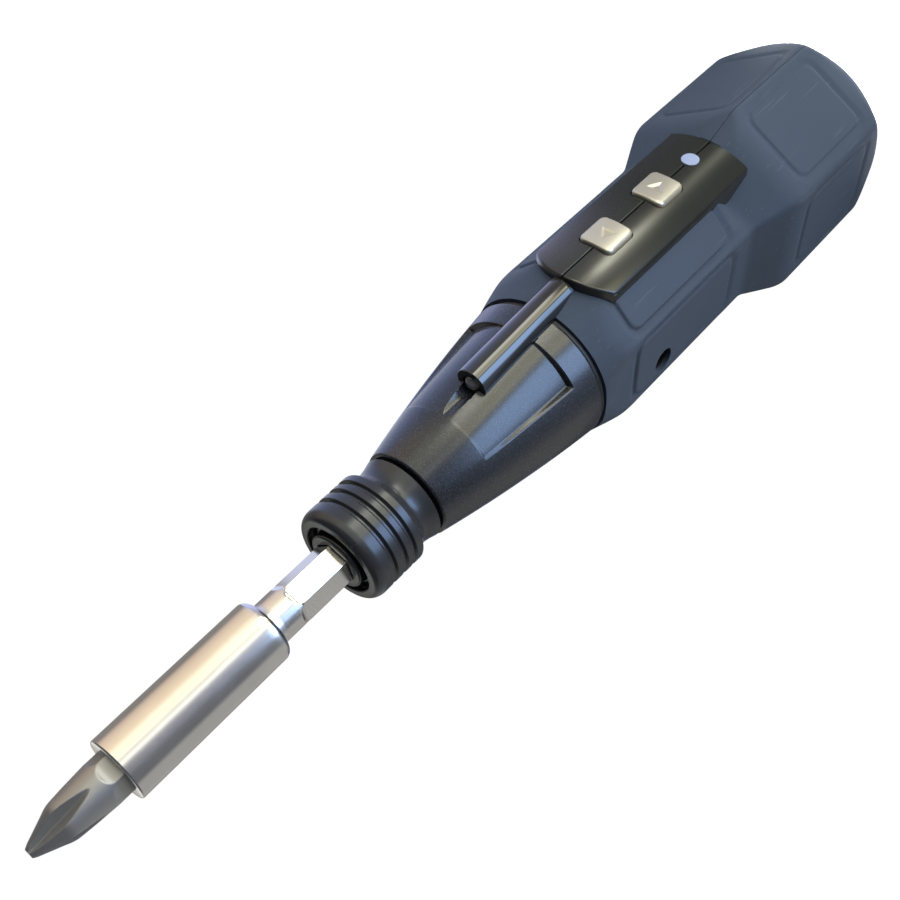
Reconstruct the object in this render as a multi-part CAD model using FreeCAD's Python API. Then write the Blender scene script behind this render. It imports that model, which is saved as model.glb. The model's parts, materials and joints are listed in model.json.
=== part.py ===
import FreeCAD, Part
import math
import os
from FreeCAD import Vector

# A small rechargeable screwdriver, standing on its tail.
# Millimetres. The spindle axis is Z with the bit at the top, the tail's flat end is at Z = 0,
# the buttons face -Y, and the two shells meet at X = 0.
# An azimuth is an angle about Z from -Y towards +X, in degrees.

# Body and tail
tail_flats = 34.6
tail_end_chamfer = 4.4
tail_rear_corner_z = 5.4
cell_in_body = 23.0
tail_front_taper = 4.9
tail_front_slope = 0.42
tail_step = 4.0
body_wall = 1.275
body_front_chamfer = 1.9
body_front_slope = 0.285
grip_thickness = 1.0
shell_wall = 1.8
seam_gap = 0.1

# Outlined pads on the flats
pad_groove_width = 0.8
pad_groove_depth = 0.4
pad_corner_radius = 2.2
tail_pad_margin = 2.4
tail_pad_rear_margin = 2.4
tail_pad_front_margin = 8.7
body_pad_margin = 1.5
body_pad_rear_margin = 5.8
body_pad_front_margin = 8.5

# Battery, charging and circuit board
cell_radius = 9.1
cell_length = 49.5
cell_rear_z = 9.8
cell_nub_radius = 3.0
cell_nub_length = 0.8
cell_fit = 0.2
cradle_width = 1.5
cradle_rear_inset = 4.2
cradle_front_inset = 9.3
contact_radius = 6.0
contact_thickness = 0.5
bulkhead_thickness = 1.3
bulkhead_hole_radius = 5.0
wiring_room = 11.4
socket_width = 9.0
socket_height = 3.2
socket_length = 7.3
socket_wall = 0.35
socket_fit = 0.1
socket_recess = 0.3
tongue_width = 6.6
tongue_inset = 0.6
socket_back = 1.0
tongue_thickness = 0.7
charge_board_width = 14.0
charge_board_thickness = 1.2
charge_board_gap = 0.1
charge_room_wall = 2.7
board_side_gap = 0.15
board_thickness = 1.1
board_drop = 2.9
board_end_gap = 0.4
board_ledge = 1.2
board_corner_radius = 0.6
switch_size = 4.5
switch_height = 1.1
plunger_radius = 1.0
chip_width = 1.6
chip_height = 0.6
chip_gap = 0.1

# Motor
motor_radius = 10.0
motor_length = 22.0
motor_in_cone = 9.5
motor_wall = 1.0
motor_cap_thickness = 1.3
magnet_thickness = 1.3
magnet_angle = 130.0
magnet_length = 15.0
armature_gap = 0.5
armature_length = 13.0
armature_slots = 3
armature_slot_width = 1.6
armature_slot_depth = 4.0
commutator_radius = 2.6
commutator_length = 1.8
commutator_gap = 0.4
shaft_radius = 1.0
shaft_fit = 0.05
shaft_tail = 0.8
lead_radius = 0.6
lead_spacing = 8.0
lead_inset = 5.5

# Raised panel with the buttons and the charge lamp
panel_width = 15.9
panel_proud = 1.4
panel_rear_overlap = 1.0
panel_front_margin = 8.8
panel_bow = 3.7
panel_edge_radius = 0.5
panel_gap = 0.3
panel_root = 2.0
pocket_roof = 2.1
pocket_side = 1.6
pocket_rear_wall = 1.8
pocket_front_wall = 0.9
button_width = 6.4
button_length = 6.9
button_corner_radius = 1.1
button_proud = 0.75
button_edge_radius = 0.35
button_clearance = 0.2
button_flange = 0.7
button_flange_height = 0.75
button_flange_gap = 0.05
button_travel = 0.6
button_stop_gap = 0.05
button_front_margin = 8.2
button_pitch = 14.6
mark_size = 3.0
mark_height = 0.15
indicator_radius = 1.6
indicator_margin = 4.4
indicator_proud = 0.15
indicator_fit = 0.05

# Planetary gears, the same in both stages
module = 0.5
sun_teeth = 8
planet_teeth = 10
ring_teeth = sun_teeth + 2 * planet_teeth
planet_count = 3
backlash = 0.14
tooth_addendum = 0.8
tooth_root = 1.1
flank_angle = 20.0
gear_width = 3.6
gear_gap = 0.3
ring_wall = 0.95
gear_plate_thickness = 1.2
carrier_thickness = 1.2
pin_radius = 0.7
pin_fit = 0.05
carrier_gap = 0.3
cover_thickness = 1.0
hub_radius = 3.6
hub_fit = 0.05
tang_flats = 4.0
tang_fit = 0.05

# Spindle, bush and chuck
spindle_radius = 5.1
spindle_inset = 0.8
spindle_chamfer = 0.4
spindle_turn = 13.4
flange_gap = 0.3
flange_thickness = 1.2
bush_wall = 1.4
running_fit = 0.05
thrust_thickness = 0.5
axial_gap = 0.1
hex_flats = 6.35
hex_fit = 0.05
hex_socket_depth = 20.6
ball_radius = 0.9
ball_fit = 0.02
ball_rise = 1.8
sleeve_wall = 2.15
sleeve_length = 14.8
sleeve_gap = 0.6
neck_rear_drop = 0.7
neck_drop = 1.3
neck_length = 2.6
neck_ramp = 1.1
sleeve_lip_drop = 1.25
sleeve_lip_length = 2.0
groove_width = 0.8
groove_depth = 0.45
groove_pitch = 2.5
groove_count = 3
groove_front_margin = 4.0
spring_space = 1.1
sleeve_shoulder = 5.4
ring_front_margin = 1.6
ring_thickness = 0.8
ring_depth = 0.4
ring_proud = 0.65
ring_play = 0.05
ring_gap_angle = 50.0
washer_thickness = 0.5
washer_gap = 0.1
washer_fit = 0.1
spring_wire_radius = 0.32
spring_turns = 4
spring_end_gap = 0.05

# Nose cone
cone_length = 34.1
cone_rear_drop = 0.15
cone_front_rise = 0.25
cone_bulge = 0.5
cone_lip = 1.2
cone_mouth_gap = 0.6
recess_rear_margin = 5.8
recess_length = 19.0
recess_depth = 0.9
recess_from = 13.0
recess_to = 56.0
spigot_wall = 1.15
spigot_length = 7.2
spigot_fit = 0.05
rib_depth = 0.45
rib_width = 1.0
bore_step = 0.6

# Work lamp
lamp_tube_radius = 2.8
lamp_tube_fit = 0.05
lamp_front_rise = 3.5
lamp_front_reach = 17.8
lamp_rear_drop = 3.6
lamp_rear_reach = 5.8
lamp_radius = 1.5
lamp_fit = 0.05
lamp_length = 5.2
lamp_proud = 0.6
lamp_wire_hole_radius = 0.9
lamp_wire_drop = 0.6
lamp_wall = 0.7
light_notch_length = 10.0

# Bit holder and bit
shank_rear_gap = 0.3
shank_chamfer = 0.3
shank_reach = 10.2
holder_neck_rise = 0.375
holder_neck_foot_drop = 0.075
holder_neck_ramp = 1.2
holder_neck_length = 5.3
holder_length = 28.3
holder_radius = 5.2
holder_rear_edge_radius = 1.2
holder_front_edge_radius = 0.35
holder_socket_depth = 10.5
magnet_radius = 2.4
magnet_height = 3.0
magnet_fit = 0.05
bit_length = 25.0
bit_seat_gap = 0.05
bit_hex_length = 13.0
bit_rear_chamfer = 0.2
bit_round_rear_radius = 3.13
bit_round_radius = 3.12
bit_point_length = 5.2
bit_point_radius = 1.1
bit_tip_radius = 0.75
bit_tip_length = 0.5
wing_offset = 0.7
flute_length = 11.5
flute_start_rise = 0.2

# Housing screws along X
body_screw_y = 3.5
body_screw_rise = 7.0
tail_screw_gap = 3.4
tail_screw_insets = (18.2, 7.2)
screw_radius = 1.05
screw_clearance = 0.12
screw_head_radius = 2.1
screw_head_length = 1.6
screw_head_clearance = 0.2
screw_seat_x = 7.5
screw_reach = 6.5
screw_end_gap = 0.5
screw_slot_depth = 0.8
screw_slot_length = 2.6
screw_slot_width = 0.6
boss_radius = 2.7

# Worked out from the sizes above, from the tail to the tip
past = 1.0
far = 400.0
tail_corner_radius = tail_flats / math.sqrt(3)
tail_end_radius = tail_corner_radius - tail_end_chamfer
spigot_radius = motor_radius + spigot_fit + spigot_wall
spigot_seat_radius = spigot_radius + spigot_fit
body_flats = 2 * (spigot_seat_radius + body_wall + grip_thickness)
body_corner_radius = body_flats / math.sqrt(3)
body_front_radius = body_corner_radius - body_front_chamfer
end_wall = grip_thickness + shell_wall
contact_rear_z = cell_rear_z - contact_thickness
cell_front_z = cell_rear_z + cell_length + cell_nub_length
bulkhead_z = cell_front_z + contact_thickness
tail_front_z = bulkhead_z - cell_in_body
tail_front_corner_z = tail_front_z - tail_front_taper
tail_step_end_z = tail_front_z + tail_step
motor_rear_z = bulkhead_z + wiring_room
motor_front_z = motor_rear_z + motor_length
body_front_z = motor_front_z - motor_in_cone
cone_front_z = body_front_z + cone_length
tail_pad_rear_z = tail_rear_corner_z + tail_pad_rear_margin
tail_pad_front_z = tail_front_z - tail_pad_front_margin
body_pad_rear_z = tail_step_end_z + body_pad_rear_margin
body_pad_front_z = body_front_z - body_pad_front_margin
panel_radius = body_corner_radius + panel_proud
panel_rear_z = tail_front_z - panel_rear_overlap
panel_corner_z = body_front_z - panel_front_margin
pocket_roof_y = -(panel_radius - pocket_roof)
pocket_width = panel_width - 2 * pocket_side
pocket_rear_z = panel_rear_z + pocket_rear_wall
pocket_front_z = panel_corner_z - pocket_front_wall
board_face_y = pocket_roof_y + board_drop
board_inner_y = board_face_y + board_thickness
board_width = pocket_width - 2 * board_side_gap
forward_button_z = panel_corner_z - button_front_margin
reverse_button_z = forward_button_z - button_pitch
button_base_y = pocket_roof_y + button_flange_gap + button_flange_height
indicator_z = pocket_rear_z + indicator_margin
spigot_rear_z = body_front_z - spigot_length
body_bore_radius = spigot_radius - bore_step
gear_rear_z = motor_front_z + gear_plate_thickness
first_gear_z = gear_rear_z + gear_gap
first_carrier_z = first_gear_z + gear_width + gear_gap
second_gear_z = first_carrier_z + carrier_thickness + gear_gap
second_carrier_z = second_gear_z + gear_width + gear_gap
ring_front_z = second_carrier_z + carrier_thickness + gear_gap
cover_front_z = ring_front_z + cover_thickness
ring_pitch_radius = module * ring_teeth / 2
ring_root_radius = ring_pitch_radius + tooth_root * module
ring_case_radius = ring_root_radius + ring_wall
carrier_radius = ring_pitch_radius - tooth_addendum * module - carrier_gap
pin_circle = module * (sun_teeth + planet_teeth) / 2
bush_radius = spindle_radius + bush_wall
flange_radius = bush_radius - flange_gap
flange_rear_z = cover_front_z + gear_gap
flange_front_z = flange_rear_z + flange_thickness
thrust_rear_z = flange_front_z + axial_gap / 2
bush_rear_z = thrust_rear_z + thrust_thickness + axial_gap / 2
bush_front_z = cone_front_z - cone_lip
sleeve_mouth_radius = spindle_radius + spring_space
sleeve_radius = sleeve_mouth_radius + sleeve_wall
sleeve_lip_radius = sleeve_radius - sleeve_lip_drop
neck_rear_radius = sleeve_radius - neck_rear_drop
neck_radius = sleeve_radius - neck_drop
sleeve_rear_z = cone_front_z + sleeve_gap
neck_front_z = sleeve_rear_z + neck_length
collar_rear_z = neck_front_z + neck_ramp
sleeve_front_z = sleeve_rear_z + sleeve_length
sleeve_shoulder_z = sleeve_rear_z + sleeve_shoulder
groove_front_z = sleeve_front_z - groove_front_margin
cone_rear_radius = body_front_radius - cone_rear_drop
cone_front_radius = neck_rear_radius + cone_front_rise
recess_rear_z = body_front_z + recess_rear_margin
recess_front_z = recess_rear_z + recess_length
lamp_front_y = -(cone_front_radius + lamp_front_rise)
lamp_front_z = body_front_z + lamp_front_reach
lamp_rear_y = -(panel_radius - lamp_rear_drop)
lamp_rear_z = body_front_z - lamp_rear_reach
spindle_front_z = sleeve_front_z - spindle_inset
ball_z = sleeve_rear_z + ball_rise
ring_groove_z = spindle_front_z - ring_front_margin
washer_front_z = ring_groove_z - washer_gap
washer_rear_z = washer_front_z - washer_thickness
hex_apothem = hex_flats / 2
socket_flats = hex_flats + 2 * hex_fit
socket_floor_z = spindle_front_z - hex_socket_depth
holder_neck_radius = hex_apothem + holder_neck_rise
holder_neck_foot = hex_apothem - holder_neck_foot_drop
holder_neck_rear_z = spindle_front_z + shank_reach
holder_rear_z = holder_neck_rear_z + holder_neck_length
holder_front_z = holder_rear_z + holder_length
holder_floor_z = holder_front_z - holder_socket_depth
bit_rear_z = holder_floor_z + bit_seat_gap
bit_front_z = bit_rear_z + bit_length
tail_screw_y = cell_radius + tail_screw_gap
screw_places = [(body_screw_y, bulkhead_z + body_screw_rise)]
for inset in tail_screw_insets:
    screw_places.append((tail_screw_y, tail_front_z - inset))
X_AXIS = Vector(1, 0, 0)
Y_AXIS = Vector(0, 1, 0)
Z_AXIS = Vector(0, 0, 1)
ORIGIN = Vector(0, 0, 0)


def cylinder(radius, z0, z1):
    return Part.makeCylinder(radius, z1 - z0, Vector(0, 0, z0))


def tube(outer, inner, z0, z1):
    return cylinder(outer, z0, z1).cut(cylinder(inner, z0, z1))


def block(x0, x1, y0, y1, z0, z1):
    return Part.makeBox(x1 - x0, y1 - y0, z1 - z0, Vector(x0, y0, z0))


def rod_x(radius, x0, x1, y, z):
    return Part.makeCylinder(radius, x1 - x0, Vector(x0, y, z), X_AXIS)


def rod_y(radius, y0, y1, x, z):
    return Part.makeCylinder(radius, y1 - y0, Vector(x, y0, z), Y_AXIS)


def turned(shape, degrees):
    copy = shape.copy()
    copy.rotate(ORIGIN, Z_AXIS, degrees)
    return copy


def hexagon(flats, z):
    """A wire with a corner towards -Y."""
    radius = flats / math.sqrt(3)
    points = []
    for k in range(7):
        angle = math.radians(60 * k)
        points.append(Vector(radius * math.sin(angle), -radius * math.cos(angle), z))
    return Part.makePolygon(points)


def hex_prism(flats, z0, z1):
    return Part.Face(hexagon(flats, z0)).extrude(Vector(0, 0, z1 - z0))


def revolved(profile):
    """A solid of revolution about Z from (radius, z) points."""
    points = [Vector(r, 0, z) for r, z in profile]
    face = Part.Face(Part.makePolygon(points + points[:1]))
    return face.revolve(ORIGIN, Z_AXIS, 360)


def slab(width, length, radius, y0, y1, z):
    """A rounded rectangle centred on X = 0, through Y from y0 to y1."""
    shape = block(-width / 2, width / 2, y0, y1, z - length / 2, z + length / 2)
    edges = [e for e in shape.Edges if abs(e.tangentAt(e.FirstParameter).y) > 0.9]
    return shape.makeFillet(radius, edges)


def left_part(shape):
    return shape.common(block(-far, -seam_gap / 2, -far, far, -far, far))


def right_part(shape):
    return shape.common(block(seam_gap / 2, far, -far, far, -far, far))


def joined(shapes):
    return shapes[0].multiFuse(list(shapes[1:])).removeSplitter()


nodes = {}


# The outer form: two six-sided lengths with a sloping step, their corners turned off by cones
def outer_form(inset):
    tail = hex_prism(tail_flats - 2 * inset, inset, tail_front_z)
    step = Part.makeLoft([hexagon(tail_flats - 2 * inset, tail_front_z),
                          hexagon(body_flats - 2 * inset, tail_step_end_z)], True, True)
    body = hex_prism(body_flats - 2 * inset, tail_step_end_z, body_front_z)
    clear = body_corner_radius + 0.2
    taper_end_z = tail_front_corner_z + (tail_corner_radius - clear) / tail_front_slope
    chamfer_z = body_front_z - (clear - body_front_radius) / body_front_slope
    turned_off = revolved([(0, inset), (tail_end_radius - inset, inset),
                           (tail_corner_radius - inset, tail_rear_corner_z),
                           (tail_corner_radius - inset, tail_front_corner_z),
                           (clear - inset, taper_end_z), (clear - inset, chamfer_z),
                           (body_front_radius - inset, body_front_z), (0, body_front_z)])
    return joined([tail, step, body]).common(turned_off)


def panel_form(grow):
    """The raised panel's envelope: straight sides, a bowed front and a crowned top."""
    half = panel_width / 2 + grow
    rear = panel_rear_z - grow
    corner = panel_corner_z + grow
    side_a = Part.makeLine(Vector(-half, 0, corner), Vector(-half, 0, rear))
    back = Part.makeLine(Vector(-half, 0, rear), Vector(half, 0, rear))
    side_b = Part.makeLine(Vector(half, 0, rear), Vector(half, 0, corner))
    middle = Vector(0, 0, corner + panel_bow)
    front = Part.Arc(Vector(half, 0, corner), middle, Vector(-half, 0, corner)).toShape()
    plan = Part.Face(Part.Wire([side_a, back, side_b, front]))
    plan.translate(Vector(0, -body_bore_radius + panel_root, 0))
    solid = plan.extrude(Vector(0, -panel_radius, 0))
    return solid.common(cylinder(panel_radius + grow, rear - past, corner + panel_bow + past))


def lamp_envelope(radius):
    rear = Vector(0, lamp_rear_y, lamp_rear_z)
    front = Vector(0, lamp_front_y, lamp_front_z)
    return Part.makeCylinder(radius, (front - rear).Length, rear, front - rear)


def lamp_space(grow):
    """The lamp tube's outside, cut away where the cone keeps a wall over the motor and the gears."""
    motor_cover = motor_radius + spigot_fit + lamp_wall - grow
    gear_cover = ring_case_radius + spigot_fit + lamp_wall - grow
    step_z = gear_rear_z + lamp_wall - grow
    inner = cylinder(motor_cover, body_pad_rear_z, step_z).fuse(cylinder(gear_cover, step_z - past, cone_front_z))
    return lamp_envelope(lamp_tube_radius + grow).cut(inner)


def pad_groove(apothem, half_width, z0, z1):
    """A shallow groove in the outline of a pad, on a flat that faces -Y."""
    y0 = -apothem - 1
    y1 = -apothem + pad_groove_depth
    middle = (z0 + z1) / 2
    inner_width = 2 * half_width - 2 * pad_groove_width
    inner_length = z1 - z0 - 2 * pad_groove_width
    outer = slab(2 * half_width, z1 - z0, pad_corner_radius, y0, y1, middle)
    inner = slab(inner_width, inner_length, pad_corner_radius - pad_groove_width, y0, y1, middle)
    return outer.cut(inner)


# Shells
shell_form = outer_form(grip_thickness)
panel = panel_form(0)
top_edges = []
for edge in panel.Edges:
    on_top = all(abs(math.hypot(v.X, v.Y) - panel_radius) < 0.01 for v in edge.Vertexes)
    at_rear = edge.BoundBox.ZMax < panel_rear_z + 0.01
    if on_top and not at_rear:
        top_edges.append(edge)
panel = panel.makeFillet(panel_edge_radius, top_edges)

tail_room_flats = tail_flats - 2 * end_wall
cradle_rear_z = cell_rear_z + cradle_rear_inset
cradle_front_z = cell_rear_z + cell_length - cradle_front_inset
cell_room_radius = cell_radius + cell_fit
rib_z = spigot_rear_z + (spigot_length - rib_width) / 2
rib_radius = spigot_seat_radius - rib_depth
rooms = [
    cylinder(tail_end_radius - charge_room_wall, end_wall, contact_rear_z - bulkhead_thickness),
    cylinder(bulkhead_hole_radius, end_wall, contact_rear_z),
    hex_prism(tail_room_flats, contact_rear_z, cradle_rear_z),
    cylinder(cell_room_radius, contact_rear_z, bulkhead_z),
    hex_prism(tail_room_flats, cradle_rear_z + cradle_width, tail_front_z - 2 * shell_wall),
    cylinder(body_bore_radius, cradle_rear_z + cradle_width, cradle_front_z),
    cylinder(body_bore_radius, cradle_front_z + cradle_width, bulkhead_z),
    cylinder(bulkhead_hole_radius, bulkhead_z, bulkhead_z + bulkhead_thickness),
    cylinder(body_bore_radius, bulkhead_z + bulkhead_thickness, spigot_rear_z - spigot_fit),
    tube(spigot_seat_radius, 1, spigot_rear_z - spigot_fit, rib_z),
    tube(rib_radius, 1, rib_z, rib_z + rib_width),
    tube(spigot_seat_radius, 1, rib_z + rib_width, body_front_z),
    cylinder(1.5, bulkhead_z, body_front_z),
    block(-pocket_width / 2, pocket_width / 2, pocket_roof_y, board_inner_y, pocket_rear_z, pocket_front_z),
    block(-pocket_width / 2 + board_ledge, pocket_width / 2 - board_ledge, board_inner_y,
          -body_bore_radius + panel_root, pocket_rear_z, pocket_front_z),
]
shell = joined([shell_form, panel]).cut(joined(rooms))
bosses = [rod_x(boss_radius, -tail_flats, tail_flats, y, z) for y, z in screw_places]
shell = joined([shell] + [boss.common(shell_form) for boss in bosses])

window_width = button_width + 2 * button_clearance
window_length = button_length + 2 * button_clearance
window_corner = button_corner_radius + button_clearance
openings = [lamp_space(lamp_tube_fit)]
for z in (forward_button_z, reverse_button_z):
    openings.append(slab(window_width, window_length, window_corner, -panel_radius - past, pocket_roof_y + past / 2, z))
openings.append(rod_y(indicator_radius + indicator_fit, -panel_radius - past, pocket_roof_y + past / 2, 0, indicator_z))
openings.append(Part.makeCylinder(lamp_wire_hole_radius, lamp_rear_z - pocket_front_z + 2 * past,
                                  Vector(0, lamp_rear_y + lamp_wire_drop, pocket_front_z - past), Z_AXIS))
socket_mouth = block(-socket_width / 2 - socket_fit, socket_width / 2 + socket_fit,
                     -socket_height / 2 - socket_fit, socket_height / 2 + socket_fit, -past, end_wall + past)
mouth_edges = [e for e in socket_mouth.Edges if abs(e.tangentAt(e.FirstParameter).z) > 0.9]
socket_mouth = socket_mouth.makeFillet(socket_height / 2, mouth_edges)
openings.append(socket_mouth)
head_holes = []
for y, z in screw_places:
    head_holes.append(rod_x(screw_head_radius + screw_head_clearance, -tail_flats, -screw_seat_x, y, z))
shank_holes = [rod_x(screw_radius + screw_clearance, -screw_seat_x - past, 0, y, z) for y, z in screw_places]
pilot_holes = [rod_x(screw_radius, 0, screw_reach + screw_end_gap, y, z) for y, z in screw_places]
shell_holes = joined(openings + head_holes + shank_holes + pilot_holes)
nodes["left_shell"] = left_part(shell).cut(shell_holes)
nodes["right_shell"] = right_part(shell).cut(shell_holes)

# Soft grip skin over the shells, with a shadow gap around the panel
skin = outer_form(0).cut(shell_form).cut(panel_form(panel_gap))
grooves = []
tail_half = tail_corner_radius / 2 - tail_pad_margin
body_half = body_corner_radius / 2 - body_pad_margin
for azimuth in (-150, -90, -30, 30, 90, 150):
    tail_pad = pad_groove(tail_flats / 2, tail_half, tail_pad_rear_z, tail_pad_front_z)
    body_pad = pad_groove(body_flats / 2, body_half, body_pad_rear_z, body_pad_front_z)
    grooves += [turned(tail_pad, azimuth), turned(body_pad, azimuth)]
skin = skin.cut(joined(grooves))
skin_holes = joined([lamp_space(lamp_tube_fit), socket_mouth] + head_holes)
nodes["left_grip"] = left_part(skin).cut(skin_holes)
nodes["right_grip"] = right_part(skin).cut(skin_holes)

# Housing screws
screws = []
for y, z in screw_places:
    head = rod_x(screw_head_radius, -screw_seat_x - screw_head_length, -screw_seat_x, y, z)
    slot_x = -screw_seat_x - screw_head_length
    half = screw_slot_length / 2
    thin = screw_slot_width / 2
    slot = block(slot_x, slot_x + screw_slot_depth, y - half, y + half, z - thin, z + thin)
    cross = block(slot_x, slot_x + screw_slot_depth, y - thin, y + thin, z - half, z + half)
    shank = rod_x(screw_radius, -screw_seat_x, screw_reach, y, z)
    screws.append(joined([head, shank]).cut(joined([slot, cross])))
nodes["housing_screws"] = Part.makeCompound(screws)


# Nose cone
def circle_through(a, b, c):
    """Centre and radius of the circle through three (r, z) points."""
    d = 2 * (a[0] * (b[1] - c[1]) + b[0] * (c[1] - a[1]) + c[0] * (a[1] - b[1]))
    sa, sb, sc = (p[0] ** 2 + p[1] ** 2 for p in (a, b, c))
    r = (sa * (b[1] - c[1]) + sb * (c[1] - a[1]) + sc * (a[1] - b[1])) / d
    z = (sa * (c[0] - b[0]) + sb * (a[0] - c[0]) + sc * (b[0] - a[0])) / d
    return r, z, math.hypot(a[0] - r, a[1] - z)


cone_rear = (cone_rear_radius, body_front_z)
cone_front = (cone_front_radius, cone_front_z)
cone_middle = ((cone_rear_radius + cone_front_radius) / 2 + cone_bulge, (body_front_z + cone_front_z) / 2)
arc_r, arc_z, arc_radius = circle_through(cone_rear, cone_middle, cone_front)


def cone_radius(z):
    return arc_r + math.sqrt(arc_radius ** 2 - (z - arc_z) ** 2)


def at(point):
    return Vector(point[0], 0, point[1])


motor_room_radius = motor_radius + spigot_fit
gear_room_radius = ring_case_radius + spigot_fit
mouth_radius = spindle_radius + cone_mouth_gap
inside = [(spigot_radius, body_front_z), (spigot_radius, rib_z + rib_width + spigot_fit),
          (rib_radius - spigot_fit, rib_z + rib_width + spigot_fit), (rib_radius - spigot_fit, rib_z - spigot_fit),
          (spigot_radius, rib_z - spigot_fit), (spigot_radius, spigot_rear_z), (motor_room_radius, spigot_rear_z),
          (motor_room_radius, gear_rear_z), (gear_room_radius, gear_rear_z), (gear_room_radius, cover_front_z),
          (bush_radius, cover_front_z), (bush_radius, bush_front_z), (mouth_radius, bush_front_z),
          (mouth_radius, cone_front_z), cone_front]
lines = [Part.makeLine(at(a), at(b)) for a, b in zip([cone_rear] + inside[:-1], inside)]
outside = Part.Arc(at(cone_front), at(cone_middle), at(cone_rear)).toShape()
cone = Part.Face(Part.Wire(lines + [outside])).revolve(ORIGIN, Z_AXIS, 360)
recess_rear = cone_radius(recess_rear_z)
recess_profile = [Vector(0, -cone_radius(recess_front_z), recess_front_z),
                  Vector(0, -recess_rear - 2 * past, recess_rear_z),
                  Vector(0, -recess_rear + recess_depth, recess_rear_z)]
recess_face = Part.Face(Part.makePolygon(recess_profile + recess_profile[:1]))
recess = recess_face.revolve(ORIGIN, Z_AXIS, recess_to - recess_from)
recesses = [turned(recess, recess_from), turned(recess, -recess_to)]
notch = Part.makeCylinder(lamp_radius, light_notch_length, Vector(0, lamp_front_y, lamp_front_z - past), Z_AXIS)
cone = cone.cut(joined(recesses + [notch])).cut(lamp_space(lamp_tube_fit))
nodes["nose_cone"] = cone

# Work lamp in its tube
lamp_front = Vector(0, lamp_front_y, lamp_front_z)
lamp_along = Vector(0, lamp_front_y - lamp_rear_y, lamp_front_z - lamp_rear_z).normalize()
lamp_back = lamp_front - lamp_along * lamp_length
lamp_hole = Part.makeCylinder(lamp_radius + lamp_fit, lamp_length + past, lamp_back, lamp_along)
wire_hole = lamp_envelope(lamp_wire_hole_radius)
nodes["lamp_tube"] = lamp_space(0).cut(joined([lamp_hole, wire_hole]))
lamp_top = lamp_front + lamp_along * (lamp_proud - lamp_radius)
lamp_body = Part.makeCylinder(lamp_radius, lamp_length + lamp_proud - lamp_radius, lamp_back, lamp_along)
nodes["lamp"] = joined([lamp_body, Part.makeSphere(lamp_radius, lamp_top)])


# Buttons with a flange under the panel and a raised triangle on top
def button(z, towards_tip):
    cap = slab(button_width, button_length, button_corner_radius, -panel_radius - 3, button_base_y, z)
    cap = cap.common(cylinder(panel_radius + button_proud, z - button_length, z + button_length))
    rim = [e for e in cap.Edges if e.BoundBox.YMax < -panel_radius + 1.5]
    cap = cap.makeFillet(button_edge_radius, rim)
    flange = slab(button_width + 2 * button_flange, button_length + 2 * button_flange, button_corner_radius,
                  button_base_y - button_flange_height, button_base_y, z)
    tip = mark_size / 2 if towards_tip else -mark_size / 2
    corners = [Vector(-mark_size / 2, 0, z - tip * 0.6), Vector(mark_size / 2, 0, z - tip * 0.6),
               Vector(0, 0, z + tip * 0.9)]
    mark = Part.Face(Part.makePolygon(corners + corners[:1]))
    mark.translate(Vector(0, -panel_radius + past, 0))
    mark_top = cylinder(panel_radius + button_proud + mark_height, z - button_length, z + button_length)
    mark = mark.extrude(Vector(0, -button_length, 0)).common(mark_top)
    return joined([cap, flange, mark])


nodes["forward_button"] = button(forward_button_z, True)
nodes["reverse_button"] = button(reverse_button_z, False)

# Circuit board with its switches and the charge lamp
board_length = pocket_front_z - pocket_rear_z - 2 * board_end_gap
board_z = (pocket_front_z + pocket_rear_z) / 2
nodes["circuit_board"] = slab(board_width, board_length, board_corner_radius, board_face_y, board_inner_y, board_z)
switches = []
for z in (forward_button_z, reverse_button_z):
    case = slab(switch_size, switch_size, 0.4, board_face_y - switch_height, board_face_y, z)
    plunger_top = button_base_y + button_travel + button_stop_gap
    plunger = rod_y(plunger_radius, plunger_top, board_face_y - switch_height, 0, z)
    switches.append(joined([case, plunger]))
nodes["tact_switches"] = Part.makeCompound(switches)
chip = slab(chip_width, chip_width, 0.2, board_face_y - chip_height, board_face_y, indicator_z)
nodes["indicator_chip"] = chip
lens = rod_y(indicator_radius, -panel_radius - indicator_proud, board_face_y - chip_height - chip_gap, 0, indicator_z)
lens_edge = [e for e in lens.Edges if e.BoundBox.YMax < -panel_radius]
nodes["indicator_lens"] = lens.makeFillet(indicator_proud, lens_edge)

# Battery and charging
cell = joined([cylinder(cell_radius, cell_rear_z, cell_rear_z + cell_length),
               cylinder(cell_nub_radius, cell_rear_z + cell_length, cell_front_z)])
nodes["battery_cell"] = cell
rear_contact = cylinder(contact_radius, contact_rear_z, cell_rear_z)
front_contact = cylinder(contact_radius, cell_front_z, bulkhead_z)
nodes["battery_contacts"] = Part.makeCompound([rear_contact, front_contact])
socket_rear_z = socket_recess + socket_length


def socket_block(inset, z0, z1):
    shape = block(-socket_width / 2 + inset, socket_width / 2 - inset,
                  -socket_height / 2 + inset, socket_height / 2 - inset, z0, z1)
    edges = [e for e in shape.Edges if abs(e.tangentAt(e.FirstParameter).z) > 0.9]
    return shape.makeFillet((socket_height - 2 * inset) / 2 - 0.01, edges)


socket_floor = socket_rear_z - socket_back
case = socket_block(0, socket_recess, socket_rear_z)
case = case.cut(socket_block(socket_wall, socket_recess - past, socket_floor))
tongue = block(-tongue_width / 2, tongue_width / 2, -tongue_thickness / 2, tongue_thickness / 2,
               socket_recess + tongue_inset, socket_floor)
nodes["charging_socket"] = joined([case, tongue])
nodes["charge_board"] = block(-charge_board_width / 2, charge_board_width / 2, socket_height / 2,
                              socket_height / 2 + charge_board_thickness, end_wall + charge_board_gap,
                              contact_rear_z - bulkhead_thickness - charge_board_gap)

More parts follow.
